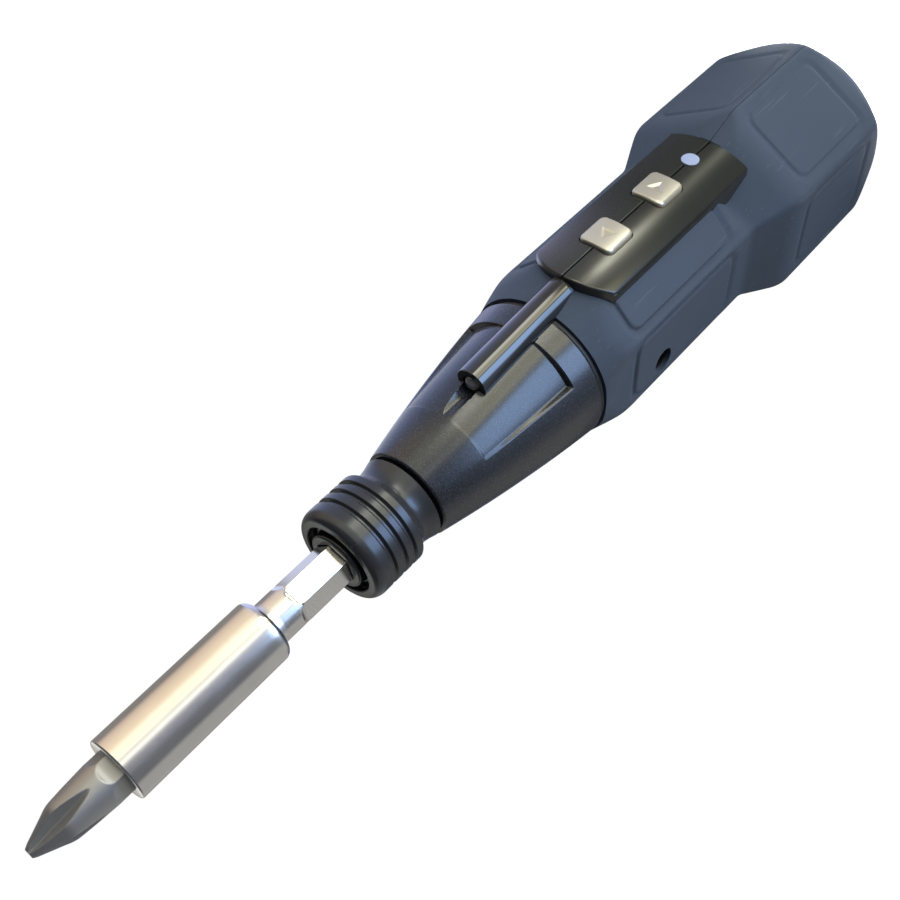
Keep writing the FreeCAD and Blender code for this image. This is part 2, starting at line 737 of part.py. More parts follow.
# Motor
can_inner = motor_radius - motor_wall
can = cylinder(motor_radius, motor_rear_z, motor_front_z).cut(
    cylinder(can_inner, motor_rear_z, motor_front_z - motor_wall)).cut(
    cylinder(shaft_radius + shaft_fit, motor_rear_z, motor_front_z))
nodes["motor_can"] = can
cap_front_z = motor_rear_z + motor_cap_thickness
nodes["motor_end_cap"] = tube(can_inner, shaft_radius + shaft_fit, motor_rear_z, cap_front_z)
magnet_rear_z = (cap_front_z + motor_front_z - motor_wall - magnet_length) / 2
magnet_face = Part.Face(Part.makePolygon([Vector(r, 0, z) for r, z in (
    (can_inner - magnet_thickness, magnet_rear_z), (can_inner, magnet_rear_z),
    (can_inner, magnet_rear_z + magnet_length), (can_inner - magnet_thickness, magnet_rear_z + magnet_length),
    (can_inner - magnet_thickness, magnet_rear_z))]))
magnet = magnet_face.revolve(ORIGIN, Z_AXIS, magnet_angle)
nodes["motor_magnets"] = Part.makeCompound([turned(magnet, -magnet_angle / 2), turned(magnet, 180 - magnet_angle / 2)])
armature_radius = can_inner - magnet_thickness - armature_gap
armature_rear_z = magnet_rear_z + (magnet_length - armature_length) / 2
core = cylinder(armature_radius, armature_rear_z, armature_rear_z + armature_length)
slots = []
for k in range(armature_slots):
    slot = block(armature_radius - armature_slot_depth, armature_radius + past,
                 -armature_slot_width / 2, armature_slot_width / 2,
                 armature_rear_z - past, armature_rear_z + armature_length + past)
    slots.append(turned(slot, 360 * k / armature_slots))
shaft = cylinder(shaft_radius, motor_rear_z - shaft_tail, first_gear_z + gear_width)
commutator_z = cap_front_z + commutator_gap
commutator = cylinder(commutator_radius, commutator_z, commutator_z + commutator_length)
nodes["armature"] = joined([core.cut(joined(slots)), shaft, commutator])
leads = []
lead_y = -(motor_radius - lead_inset)
for x in (-lead_spacing / 2, lead_spacing / 2):
    out_z = motor_rear_z - 2 * lead_radius
    stub = Part.makeCylinder(lead_radius, 2 * lead_radius, Vector(x, lead_y, out_z), Z_AXIS)
    run = rod_y(lead_radius, board_inner_y, lead_y, x, out_z)
    leads.append(joined([stub, run, Part.makeSphere(lead_radius, Vector(x, lead_y, out_z))]))
nodes["motor_leads"] = Part.makeCompound(leads)


# Gears
def tooth_points(teeth, radii, thickness_at, phase):
    points = []
    for k in range(teeth):
        centre = phase + 2 * math.pi * k / teeth
        for r, side in ((radii[0], -1), (radii[1], -1), (radii[1], 1), (radii[0], 1)):
            angle = centre + side * thickness_at(r) / (2 * r)
            points.append((r * math.cos(angle), r * math.sin(angle)))
    return points


def toothed_face(teeth, inward, phase, z):
    """The outline of a wheel, or of a ring's hole when the teeth point inward."""
    pitch = module * teeth / 2
    spread = 2 * math.tan(math.radians(flank_angle))
    sign = -1 if inward else 1
    radii = (pitch - sign * tooth_root * module, pitch + sign * tooth_addendum * module)

    def thickness_at(r):
        return math.pi * module / 2 - backlash - sign * (r - pitch) * spread

    points = [Vector(x, y, z) for x, y in tooth_points(teeth, radii, thickness_at, phase)]
    return Part.Face(Part.makePolygon(points + points[:1]))


def wheel(teeth, phase, z0, z1):
    return toothed_face(teeth, False, phase, z0).extrude(Vector(0, 0, z1 - z0))


ring_hole = toothed_face(ring_teeth, True, 0, gear_rear_z - past)
ring_hole = ring_hole.extrude(Vector(0, 0, ring_front_z - gear_rear_z + 2 * past))
nodes["ring_gear"] = cylinder(ring_case_radius, gear_rear_z, ring_front_z).cut(ring_hole)
nodes["gear_plate"] = tube(motor_radius, shaft_radius + gear_gap, motor_front_z, gear_rear_z)
nodes["gearbox_cover"] = tube(ring_case_radius, hub_radius + hub_fit, ring_front_z, cover_front_z)
pinion = wheel(sun_teeth, 0, first_gear_z, first_gear_z + gear_width)
nodes["motor_pinion"] = pinion.cut(cylinder(shaft_radius, first_gear_z - past, first_gear_z + gear_width + past))
for stage, rear_z in (("first", first_gear_z), ("second", second_gear_z)):
    for k in range(planet_count):
        planet = wheel(planet_teeth, math.pi / planet_teeth, rear_z, rear_z + gear_width)
        planet = planet.cut(cylinder(pin_radius + pin_fit, rear_z - past, rear_z + gear_width + past))
        angle = 2 * math.pi * k / planet_count
        planet.translate(Vector(pin_circle * math.cos(angle), pin_circle * math.sin(angle), 0))
        nodes["%s_planet_%s" % (stage, "abc"[k])] = planet


def carrier(rear_z):
    """A disc with pins towards the motor."""
    pieces = [cylinder(carrier_radius, rear_z, rear_z + carrier_thickness)]
    for k in range(planet_count):
        angle = 2 * math.pi * k / planet_count
        place = Vector(pin_circle * math.cos(angle), pin_circle * math.sin(angle), rear_z - gear_gap - gear_width)
        pieces.append(Part.makeCylinder(pin_radius, gear_width + gear_gap, place))
    return joined(pieces)


second_pinion = wheel(sun_teeth, 0, first_carrier_z + carrier_thickness, second_gear_z + gear_width)
nodes["first_carrier"] = joined([carrier(first_carrier_z), second_pinion])
tang_hole = turned(hex_prism(tang_flats + 2 * tang_fit, second_carrier_z, flange_rear_z + past), spindle_turn)
hub_front_z = flange_rear_z - axial_gap
hub = cylinder(hub_radius, second_carrier_z, hub_front_z)
nodes["output_carrier"] = joined([carrier(second_carrier_z), hub]).cut(tang_hole)

# Spindle and its bearings
tang = turned(hex_prism(tang_flats, second_carrier_z + gear_gap, flange_front_z), spindle_turn)
groove_floor = spindle_radius - ring_depth
spindle = joined([cylinder(flange_radius, flange_rear_z, flange_front_z),
                  cylinder(spindle_radius, flange_rear_z, spindle_front_z), tang])
front_edge = [e for e in spindle.Edges if e.BoundBox.ZMin > spindle_front_z - 0.01]
spindle = spindle.makeChamfer(spindle_chamfer, front_edge)
socket_hole = turned(hex_prism(socket_flats, socket_floor_z, spindle_front_z + past), spindle_turn)
ball_azimuth = spindle_turn - 30
ball_place = socket_flats / 2 + ball_fit + ball_radius
ball_hole = turned(rod_y(ball_radius + ball_fit, -spindle_radius - past, 0, 0, ball_z), ball_azimuth)
snap_groove = tube(spindle_radius + past, groove_floor, ring_groove_z, ring_groove_z + ring_thickness)
nodes["spindle"] = spindle.cut(joined([socket_hole, ball_hole, snap_groove]))
nodes["lock_ball"] = turned(Part.makeSphere(ball_radius, Vector(0, -ball_place, ball_z)), ball_azimuth)
nodes["thrust_washer"] = tube(flange_radius, spindle_radius + running_fit, thrust_rear_z,
                              thrust_rear_z + thrust_thickness)
nodes["spindle_bush"] = tube(bush_radius, spindle_radius + running_fit, bush_rear_z, bush_front_z)

# Chuck: sleeve, spring, washer and snap ring
lip_start_z = sleeve_front_z - sleeve_lip_length
sleeve_outline = [(spindle_radius + running_fit, sleeve_rear_z), (neck_rear_radius, sleeve_rear_z),
                  (neck_radius, neck_front_z), (sleeve_radius, collar_rear_z)]
for k in reversed(range(groove_count)):
    z = groove_front_z - k * groove_pitch
    floor = sleeve_radius - groove_depth
    sleeve_outline += [(sleeve_radius, z - groove_width / 2), (floor, z - groove_width / 4),
                       (floor, z + groove_width / 4), (sleeve_radius, z + groove_width / 2)]
sleeve_outline.append((sleeve_radius, lip_start_z))
sleeve_end = [(sleeve_lip_radius, sleeve_front_z), (sleeve_mouth_radius, sleeve_front_z),
              (sleeve_mouth_radius, sleeve_shoulder_z), (spindle_radius + running_fit, sleeve_shoulder_z)]
lip_depth = sleeve_radius - sleeve_lip_radius
lip_middle = (sleeve_radius - lip_depth * (1 - math.sqrt(0.5)), lip_start_z + sleeve_lip_length * math.sqrt(0.5))
sleeve_lines = [Part.makeLine(at(a), at(b)) for a, b in zip(sleeve_outline[:-1], sleeve_outline[1:])]
sleeve_lines.append(Part.Arc(at(sleeve_outline[-1]), at(lip_middle), at(sleeve_end[0])).toShape())
closing = sleeve_end + sleeve_outline[:1]
sleeve_lines += [Part.makeLine(at(a), at(b)) for a, b in zip(closing[:-1], closing[1:])]
nodes["chuck_sleeve"] = Part.Face(Part.Wire(sleeve_lines)).revolve(ORIGIN, Z_AXIS, 360)
washer_radius = sleeve_mouth_radius - washer_fit
nodes["spring_washer"] = tube(washer_radius, spindle_radius + running_fit, washer_rear_z, washer_front_z)
ring_inner = groove_floor + running_fit
snap_ring = tube(spindle_radius + ring_proud, ring_inner, ring_groove_z + ring_play,
                 ring_groove_z + ring_thickness - ring_play)
wedge = Part.makeCylinder(2 * sleeve_radius, ring_thickness + 2 * past, Vector(0, 0, ring_groove_z - past), Z_AXIS,
                          ring_gap_angle)
nodes["snap_ring"] = snap_ring.cut(turned(wedge, 60))


# Coil spring on the spindle, between the sleeve's shoulder and the washer
def coil(radius, wire, z0, turns, pitch):
    """One unbroken tube of quarter turns; also returns points along its middle."""
    def point(angle):
        return Vector(radius * math.cos(angle), radius * math.sin(angle), z0 + pitch * angle / (2 * math.pi))
    edges = []
    points = []
    step = math.pi / 2
    for k in range(4 * turns):
        a = k * step
        edges.append(Part.Arc(point(a), point(a + step / 2), point(a + step)).toShape())
        points += [point(a + step * j / 6) for j in range(6)]
    path = Part.Wire(edges)
    tangent = Vector(0, radius, pitch / (2 * math.pi))
    circle = Part.Wire(Part.makeCircle(wire, point(0), tangent))
    return path.makePipeShell([circle], True, False), points


def least_gap(points, wire, apart):
    """The smallest distance between two stretches of the tube that lie apart along it."""
    best = 1e9
    for i in range(len(points)):
        for j in range(i + apart, len(points)):
            best = min(best, (points[i] - points[j]).Length)
    return best - 2 * wire


spring_room = washer_rear_z - sleeve_shoulder_z
spring_radius = (sleeve_mouth_radius + spindle_radius) / 2
spring_pitch = (spring_room - 2 * spring_wire_radius - 2 * spring_end_gap) / spring_turns
spring, spring_points = coil(spring_radius, spring_wire_radius, sleeve_shoulder_z + spring_wire_radius + spring_end_gap,
                             spring_turns, spring_pitch)
print("chuck spring least gap %.2f mm" % least_gap(spring_points, spring_wire_radius, 18))
nodes["chuck_spring"] = spring

# Bit holder with its magnet
shank_rear_z = socket_floor_z + shank_rear_gap
shank = turned(hex_prism(hex_flats, shank_rear_z, holder_rear_z), spindle_turn)
shank = shank.common(revolved([(0, shank_rear_z), (hex_apothem - shank_chamfer, shank_rear_z),
                               (hex_flats, shank_rear_z + hex_apothem), (hex_flats, holder_neck_rear_z),
                               (holder_neck_radius, holder_neck_rear_z), (holder_neck_radius, holder_rear_z),
                               (0, holder_rear_z)]))
holder_neck = revolved([(0, holder_neck_rear_z), (holder_neck_foot, holder_neck_rear_z),
                        (holder_neck_radius, holder_neck_rear_z + holder_neck_ramp),
                        (holder_neck_radius, holder_rear_z + past), (0, holder_rear_z + past)])
holder_tube = cylinder(holder_radius, holder_rear_z, holder_front_z)
rear_rim = [e for e in holder_tube.Edges if e.BoundBox.ZMax < holder_rear_z + 0.01]
holder_tube = holder_tube.makeFillet(holder_rear_edge_radius, rear_rim)
front_rim = [e for e in holder_tube.Edges if e.BoundBox.ZMin > holder_front_z - 0.01]
holder_tube = holder_tube.makeFillet(holder_front_edge_radius, front_rim)
bit_socket = turned(hex_prism(socket_flats, holder_floor_z, holder_front_z + past), spindle_turn)
magnet_floor_z = holder_floor_z - magnet_height
magnet_bore = cylinder(magnet_radius + magnet_fit, magnet_floor_z, holder_front_z)
nodes["bit_holder"] = joined([shank, holder_neck, holder_tube]).cut(joined([bit_socket, magnet_bore]))
nodes["holder_magnet"] = cylinder(magnet_radius, magnet_floor_z, holder_floor_z)

# Cross-head bit
point_z = bit_front_z - bit_point_length
hex_end_z = bit_rear_z + bit_hex_length
bit_hex = turned(hex_prism(hex_flats, bit_rear_z, hex_end_z), spindle_turn)
bit_hex = bit_hex.common(revolved([(0, bit_rear_z), (hex_apothem - bit_rear_chamfer, bit_rear_z),
                                   (hex_flats, bit_rear_z + hex_apothem), (hex_flats, hex_end_z - hex_apothem),
                                   (bit_round_rear_radius, hex_end_z), (0, hex_end_z)]))
bit_round = revolved([(0, hex_end_z - past), (bit_round_rear_radius, hex_end_z - past), (bit_round_radius, point_z),
                      (bit_point_radius, bit_front_z - bit_tip_length), (bit_tip_radius, bit_front_z), (0, bit_front_z)])
flutes = []
for k in range(4):
    rows = []
    for z, apex in ((bit_front_z - flute_length, bit_round_radius + flute_start_rise),
                    (bit_front_z + past, wing_offset)):
        wide = 2 * hex_flats
        corners = [Vector(apex, 0, z), Vector(apex + wide, -wide, z), Vector(apex + wide, wide, z)]
        rows.append(Part.makePolygon(corners + corners[:1]))
    flutes.append(turned(Part.makeLoft(rows, True, True), 90 * k + spindle_turn - 30))
nodes["screwdriver_bit"] = joined([bit_hex, bit_round]).cut(joined(flutes))

os.makedirs("parts", exist_ok=True)
for name, shape in nodes.items():
    if not shape.isValid():
        print("not valid:", name)
    print("%-18s solids %d  volume %.1f" % (name, len(shape.Solids), shape.Volume))
    shape.exportStep("parts/%s.step" % name)
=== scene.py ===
# %% [markdown]
# A cordless screwdriver, dressed for its picture.
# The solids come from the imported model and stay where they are. This lesson gives them softened edges,
# finishes and small fittings, then sets the light and the camera.

# %% Load the solids
import json
from math import cos, hypot, pi, radians, sin, sqrt, tan

import bmesh
import bpy
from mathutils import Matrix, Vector

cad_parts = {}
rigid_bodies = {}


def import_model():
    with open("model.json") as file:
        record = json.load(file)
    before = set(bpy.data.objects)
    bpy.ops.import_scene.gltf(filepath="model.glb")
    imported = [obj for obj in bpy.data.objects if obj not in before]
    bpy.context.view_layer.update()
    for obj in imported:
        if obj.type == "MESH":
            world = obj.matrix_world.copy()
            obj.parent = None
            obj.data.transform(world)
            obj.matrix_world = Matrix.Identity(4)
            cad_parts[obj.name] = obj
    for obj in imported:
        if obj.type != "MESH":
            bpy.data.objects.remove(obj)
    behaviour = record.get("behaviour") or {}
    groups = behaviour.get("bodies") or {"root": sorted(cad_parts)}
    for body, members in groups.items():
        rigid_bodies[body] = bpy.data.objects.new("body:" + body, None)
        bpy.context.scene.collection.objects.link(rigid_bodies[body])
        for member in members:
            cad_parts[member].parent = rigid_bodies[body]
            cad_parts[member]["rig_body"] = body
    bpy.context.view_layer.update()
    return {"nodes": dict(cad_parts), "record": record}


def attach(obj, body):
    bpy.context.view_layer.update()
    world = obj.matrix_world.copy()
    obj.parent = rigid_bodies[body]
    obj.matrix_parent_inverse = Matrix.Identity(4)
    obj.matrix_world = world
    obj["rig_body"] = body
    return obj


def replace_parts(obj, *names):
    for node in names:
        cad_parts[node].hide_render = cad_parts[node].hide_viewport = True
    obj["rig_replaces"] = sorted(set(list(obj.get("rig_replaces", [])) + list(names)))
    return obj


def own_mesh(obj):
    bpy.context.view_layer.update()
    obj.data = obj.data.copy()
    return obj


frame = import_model()
nodes = frame["nodes"]
slot_of = {part["node"]: part["material_slot"] for part in frame["record"]["subparts"]}
MM = 0.001

# %% [markdown]
# The camera stands about 18 cm from the tool's axis, level with the tip of the bit, and is rolled so that the
# bit points to the lower left. Its place and turn were worked out from the vanishing of the long edges.

# %% Camera
CAMERA_PLACE = (-0.08418, -0.15439, 0.19914)
CAMERA_TURN = (-52.895, 40.040, 177.221)


def add_object(name, data):
    item = bpy.data.objects.new(name, data)
    bpy.context.scene.collection.objects.link(item)
    return item


camera_data = bpy.data.cameras.new("camera")
camera_data.lens = 50.0
camera_data.sensor_width = 36.0
camera_data.clip_start = 0.005
camera_data.clip_end = 50.0
camera = add_object("camera", camera_data)
camera.location = CAMERA_PLACE
camera.rotation_euler = [radians(angle) for angle in CAMERA_TURN]
bpy.context.scene.camera = camera
print("camera at", CAMERA_PLACE)

# %% [markdown]
# A few helpers keep the later cells short. They add a node with its inputs set, start a material with a
# Principled shader, start a node group with named sockets, and dress a shader with colour, gloss and relief.

# %% Node helpers
MIX_INPUTS, MIX_RESULT = (0, 6, 7), 2
finishes = {}


def feed(socket, value):
    """Links a value that another node puts out, and sets a plain one."""
    if isinstance(value, bpy.types.NodeSocket):
        socket.id_data.links.new(value, socket)
    elif socket.type == "RGBA":
        socket.default_value = (*value, 1.0)
    else:
        socket.default_value = value


def feed_all(sockets, values):
    for socket, value in zip(sockets, values):
        feed(socket, value)


def add_node(tree, kind, settings=None, **inputs):
    """A node of the tree's kind; settings are its properties, inputs its sockets with _ for spaces."""
    node = tree.nodes.new(tree.bl_idname.replace("Tree", kind))
    for name, value in (settings or {}).items():
        setattr(node, name, value)
    for name, value in inputs.items():
        feed(node.inputs[name.replace("_", " ")], value)
    return node


def math_node(operation, *values):
    node = add_node(values[0].id_data, "Math", {"operation": operation})
    feed_all(node.inputs, values)
    return node.outputs[0]


def vector_node(operation, *vectors):
    node = add_node(vectors[0].id_data, "VectorMath", {"operation": operation})
    feed_all(node.inputs, vectors)
    return node.outputs


def blend_colours(amount, low, high):
    """Low colour where amount is 0, high colour where it is 1."""
    node = add_node(amount.id_data, "Mix", {"data_type": "RGBA"})
    feed_all([node.inputs[k] for k in MIX_INPUTS], (amount, low, high))
    return node.outputs[MIX_RESULT]


def spread(value, low, high):
    """Maps a 0 to 1 value to the range low to high."""
    return add_node(value.id_data, "MapRange", Value=value, To_Min=low, To_Max=high).outputs[0]


def object_place(tree):
    return add_node(tree, "TexCoord").outputs["Object"]


def noise(place, scale, detail, **more):
    return add_node(place.id_data, "TexNoise", Vector=place, Scale=scale, Detail=detail, **more).outputs[0]


def blank_material(name):
    material = bpy.data.materials.new(name)
    material.use_nodes = True
    material.node_tree.nodes.clear()
    return material, material.node_tree


def start_material(name, **shader):
    """The Principled shader of a new finish, with its constant inputs set by name."""
    finishes[name], tree = blank_material(name)
    bsdf = add_node(tree, "BsdfPrincipled", **shader)
    add_node(tree, "OutputMaterial", Surface=bsdf.outputs["BSDF"])
    return bsdf


def start_group(name, inputs, outputs):
    """A shader node group with named float sockets, the object's place, and what goes in and out."""
    group = bpy.data.node_groups.new(name, "ShaderNodeTree")
    for label, default in inputs.items():
        socket = group.interface.new_socket(name=label, in_out="INPUT", socket_type="NodeSocketFloat")
        socket.default_value = default
    for label in outputs:
        group.interface.new_socket(name=label, in_out="OUTPUT", socket_type="NodeSocketFloat")
    given = group.nodes.new("NodeGroupInput").outputs
    result = group.nodes.new("NodeGroupOutput").inputs
    return group, object_place(group), given, result


def place_group(bsdf, group, **inputs):
    return add_node(bsdf.id_data, "Group", {"node_tree": group}, **inputs).outputs


def dress(bsdf, colour, rough, height=None, strength=0.0, depth=0.0):
    """Feeds colour and roughness to a shader, and a height as relief of a depth in millimetres."""
    feed_all([bsdf.inputs["Base Color"], bsdf.inputs["Roughness"]], (colour, rough))
    if height is not None:
        bump = add_node(bsdf.id_data, "Bump", Height=height, Strength=strength, Distance=depth * MM)
        feed(bsdf.inputs["Normal"], bump.outputs["Normal"])


print("helpers ready")

# %% [markdown]
# Effects that several finishes share are node groups. Grain is the fine relief of moulded plastic with
# slow patches of tone. Turned lines are the rings a lathe leaves round the axis. Handling marks are the
# faint smears and scratches of use. Sparkle picks out single flakes in the cone's paint.

# %% Shared effects
SCRATCH_STRETCH, SCRATCH_TURN = (2600.0, 2200.0, 90.0), (0.35, 0.2, 0.0)
SCRATCH_FROM, SCRATCH_TO = 0.68, 0.76

grain_group, place, given, result = start_group(
    "moulded_grain", {"Scale": 4000.0, "Patch Scale": 60.0}, ["Height", "Patches"])
feed(result["Height"], noise(place, given["Scale"], 3.0))
feed(result["Patches"], noise(place, given["Patch Scale"], 4.0))

turned_group, place, given, result = start_group(
    "turned_lines", {"Scale": 3000.0, "Waver": 40.0}, ["Height", "Tone"])
axes = add_node(turned_group, "SeparateXYZ", Vector=place).outputs
squares = [math_node("MULTIPLY", axes[name], axes[name]) for name in "XY"]
radius = math_node("SQRT", math_node("ADD", *squares))
ring_place = add_node(turned_group, "CombineXYZ", X=radius, Y=0.0, Z=axes["Z"]).outputs[0]
feed(result["Height"], noise(ring_place, given["Scale"], 2.0))
feed(result["Tone"], noise(place, given["Waver"], 3.0))

marks_group, place, given, result = start_group(
    "handling_marks", {"Scale": 45.0, "Amount": 0.5}, ["Smears", "Scratches"])
smears = noise(place, given["Scale"], 6.0, Roughness=0.65, Distortion=0.6)
stretched = add_node(marks_group, "Mapping", Vector=place, Scale=SCRATCH_STRETCH, Rotation=SCRATCH_TURN)
lines = noise(stretched.outputs[0], 1.0, 1.0)
thin = add_node(marks_group, "MapRange", Value=lines, From_Min=SCRATCH_FROM, From_Max=SCRATCH_TO)
for label, mask in (("Smears", smears), ("Scratches", thin.outputs[0])):
    feed(result[label], math_node("MULTIPLY", mask, given["Amount"]))

sparkle_group, place, given, result = start_group(
    "paint_sparkle", {"Scale": 5000.0, "Share": 0.12}, ["Flakes", "Tilt"])
cells = add_node(sparkle_group, "TexVoronoi", Vector=place, Scale=given["Scale"])
chance = add_node(sparkle_group, "SeparateColor", Color=cells.outputs["Color"]).outputs
feed(result["Flakes"], math_node("LESS_THAN", chance[0], given["Share"]))
feed(result["Tilt"], chance[1])
print("shared effects:", [group.name for group in bpy.data.node_groups])

# %% [markdown]
# The grip is a soft-touch skin: a dull blue grey with a fine even tooth. A low specular level keeps it
# matt, and slow patches and faint rub marks stop it looking like one flat colour.

# %% Soft grip
bsdf = start_material("soft_grip", Specular_IOR_Level=0.12)
grain = place_group(bsdf, grain_group, Scale=5200.0, Patch_Scale=70.0)
marks = place_group(bsdf, marks_group, Scale=38.0, Amount=0.6)
tone = blend_colours(grain["Patches"], (0.058, 0.080, 0.119), (0.067, 0.092, 0.137))
worn = blend_colours(marks["Scratches"], tone, (0.104, 0.136, 0.186))
dress(bsdf, worn, spread(marks["Smears"], 0.50, 0.66), grain["Height"], strength=0.35, depth=0.04)
print("made the soft grip's finish")

# %% [markdown]
# The raised panel is part of the hard shells and is polished. Its base is almost black with an olive cast,
# and what shows is mostly the reflection, so the roughness carries the detail: smears and hairline scratches.

# %% Gloss panel
bsdf = start_material("panel_plastic", Coat_Weight=0.15, Coat_Roughness=0.1)
marks = place_group(bsdf, marks_group, Scale=60.0, Amount=0.8)
grain = place_group(bsdf, grain_group, Scale=900.0, Patch_Scale=45.0)
tone = blend_colours(grain["Patches"], (0.022, 0.024, 0.021), (0.030, 0.032, 0.028))
hairlines = math_node("MULTIPLY", marks["Scratches"], 0.04)
rough = math_node("ADD", spread(marks["Smears"], 0.14, 0.26), hairlines)
dress(bsdf, tone, rough, grain["Height"], strength=0.015, depth=0.04)
print("made the panel's finish")

# %% [markdown]
# The nose cone carries a satin paint with fine flakes. Each flake is one cell of a Voronoi pattern: its own
# grey sets how bright it is, and a small tilt in the bump makes single flakes flash as the view moves.

# %% Sparkle paint on the cone, and the lamp tube's gloss
bsdf = start_material("cone_plastic", Coat_Weight=0.2, Coat_Roughness=0.12)
sparkle = place_group(bsdf, sparkle_group, Scale=9000.0, Share=0.10)
grain = place_group(bsdf, grain_group, Scale=2500.0, Patch_Scale=50.0)
tone = blend_colours(grain["Patches"], (0.010, 0.013, 0.018), (0.015, 0.018, 0.024))
flaked = blend_colours(sparkle["Flakes"], tone, (0.045, 0.055, 0.075))
rough = spread(sparkle["Tilt"], 0.18, 0.28)
dress(bsdf, flaked, rough, sparkle["Tilt"], strength=0.06, depth=0.02)

bsdf = start_material("tube_gloss", Coat_Weight=0.8, Coat_Roughness=0.08)
marks = place_group(bsdf, marks_group, Scale=70.0, Amount=0.7)
tone = blend_colours(marks["Smears"], (0.008, 0.009, 0.010), (0.014, 0.015, 0.017))
dress(bsdf, tone, spread(marks["Smears"], 0.06, 0.14))
print("made the cone's paint and the lamp tube's gloss")

# %% [markdown]
# Metals differ in colour, in how polished they are and in the rings the lathe left. One function makes them
# all from those values: the rings go to the bump, the slow waver to the tone and the roughness.


# %% Metals
def turned_metal(name, dark, light, smooth, dull, ring_scale=3000.0, relief=0.1, metallic=1.0):
    bsdf = start_material(name, Metallic=metallic)
    rings = place_group(bsdf, turned_group, Scale=ring_scale, Waver=120.0)
    marks = place_group(bsdf, marks_group, Scale=150.0, Amount=0.8)
    tone = blend_colours(rings["Tone"], dark, light)
    scratched = blend_colours(marks["Scratches"], tone, light)
    rough = spread(rings["Tone"], smooth, dull)
    dress(bsdf, scratched, rough, rings["Height"], relief, depth=0.02)


turned_metal("nickel", (0.60, 0.585, 0.56), (0.72, 0.70, 0.67), 0.12, 0.24, 2200.0, 0.10)
turned_metal("bit_steel", (0.33, 0.325, 0.32), (0.42, 0.415, 0.405), 0.40, 0.52, 2600.0, 0.12)
turned_metal("steel", (0.52, 0.52, 0.52), (0.64, 0.64, 0.63), 0.2, 0.34)
turned_metal("dark_steel", (0.032, 0.035, 0.041), (0.046, 0.050, 0.057), 0.20, 0.30, 1800.0, 0.06, 0.4)
turned_metal("brass", (0.62, 0.43, 0.18), (0.74, 0.55, 0.26), 0.22, 0.36)
turned_metal("button_silver", (0.56, 0.53, 0.44), (0.66, 0.63, 0.53), 0.18, 0.30, 900.0, 0.03, 0.5)
turned_metal("magnet_grey", (0.14, 0.14, 0.15), (0.22, 0.22, 0.23), 0.4, 0.6)
turned_metal("winding_copper", (0.55, 0.25, 0.13), (0.72, 0.37, 0.20), 0.25, 0.42, 5000.0, 0.3)
print("metals made")

# %% [markdown]
# The parts inside get honest finishes too: boards, switches, the wrapped cell and the wires. They are made
# by one moulded plastic function, with tone patches and grain in place of the lathe's rings.


# %% Plastics inside
def moulded(name, low, high, smooth, dull, grain_scale=3000.0, relief=0.15, **shader):
    bsdf = start_material(name, **shader)
    grain = place_group(bsdf, grain_group, Scale=grain_scale, Patch_Scale=120.0)
    tone = blend_colours(grain["Patches"], low, high)
    dress(bsdf, tone, spread(grain["Patches"], smooth, dull), grain["Height"], relief, depth=0.03)


moulded("board_green", (0.015, 0.13, 0.05), (0.03, 0.20, 0.08), 0.3, 0.45)
moulded("switch_black", (0.015, 0.015, 0.016), (0.03, 0.03, 0.032), 0.45, 0.6)
moulded("cell_wrap", (0.04, 0.17, 0.38), (0.06, 0.23, 0.48), 0.2, 0.32, Coat_Weight=0.3)
moulded("lead_red", (0.40, 0.02, 0.02), (0.55, 0.04, 0.03), 0.4, 0.55)
moulded("chip_yellow", (0.75, 0.62, 0.15), (0.85, 0.74, 0.25), 0.3, 0.4)
moulded("lens_clear", (0.34, 0.42, 0.62), (0.40, 0.49, 0.70), 0.12, 0.22, 400.0, 0.05, Coat_Weight=0.6)

bsdf = start_material("lamp_clear", Transmission_Weight=0.35, IOR=1.5, Coat_Weight=0.5)
grain = place_group(bsdf, grain_group, Scale=1500.0, Patch_Scale=300.0)
tone = blend_colours(grain["Patches"], (0.42, 0.44, 0.50), (0.60, 0.62, 0.68))
dress(bsdf, tone, spread(grain["Patches"], 0.02, 0.08))
print("finishes made:", len(finishes))

# %% [markdown]
# Some outer pieces are made again here, because moulded rubber and paint have soft edges that a bevel on the
# imported triangles can't give. They are grids: rows of points joined by quads, closed on every side. From
# here on, sizes are in millimetres and angles in degrees, unless a comment says otherwise.

# %% Grids and hand-over
SHARP_ANGLE, GROUND_ANGLE, HARD_ANGLE, SOFT_ANGLE = 24.0, 30.0, 32.0, 40.0
made_pieces = []


def spaced(start, *spans):
    """Values from a start through several (end, step) spans."""
    values = []
    for end, step in spans:
        count = max(1, round((end - start) / step))
        values += [start + (end - start) * k / count for k in range(count)]
        start = end
    return values + [start]


def lofted(rows, around=False, wrap=False):
    """Points and quads through equal rows. Around joins a row's ends, wrap the last row to the first."""
    count = len(rows[0])
    faces = []
    for j in range(len(rows) if wrap else len(rows) - 1):
        here = j * count
        there = (j + 1) % len(rows) * count
        for i in range(count if around else count - 1):
            after = (i + 1) % count
            faces.append((here + i, here + after, there + after, there + i))
    return [point for row in rows for point in row], faces


def capped(rows):
    """A closed skin through round rows, with the first and last row filled."""
    points, faces = lofted(rows, around=True)
    count = len(rows[0])
    return points, faces + [tuple(range(count)), tuple(range(len(points) - count, len(points)))]


def closed_sheet(top, under):
    """A closed sheet from two grids with the same rows and columns."""
    rows = [upper + lower[::-1] for upper, lower in zip(top, under)]
    points, faces = lofted(rows, around=True)
    count = len(rows[0])
    half = count // 2
    for start in (0, (len(rows) - 1) * count):
        for i in range(half - 1):
            faces.append((start + i, start + i + 1, start + count - 2 - i, start + count - 1 - i))
    return points, faces


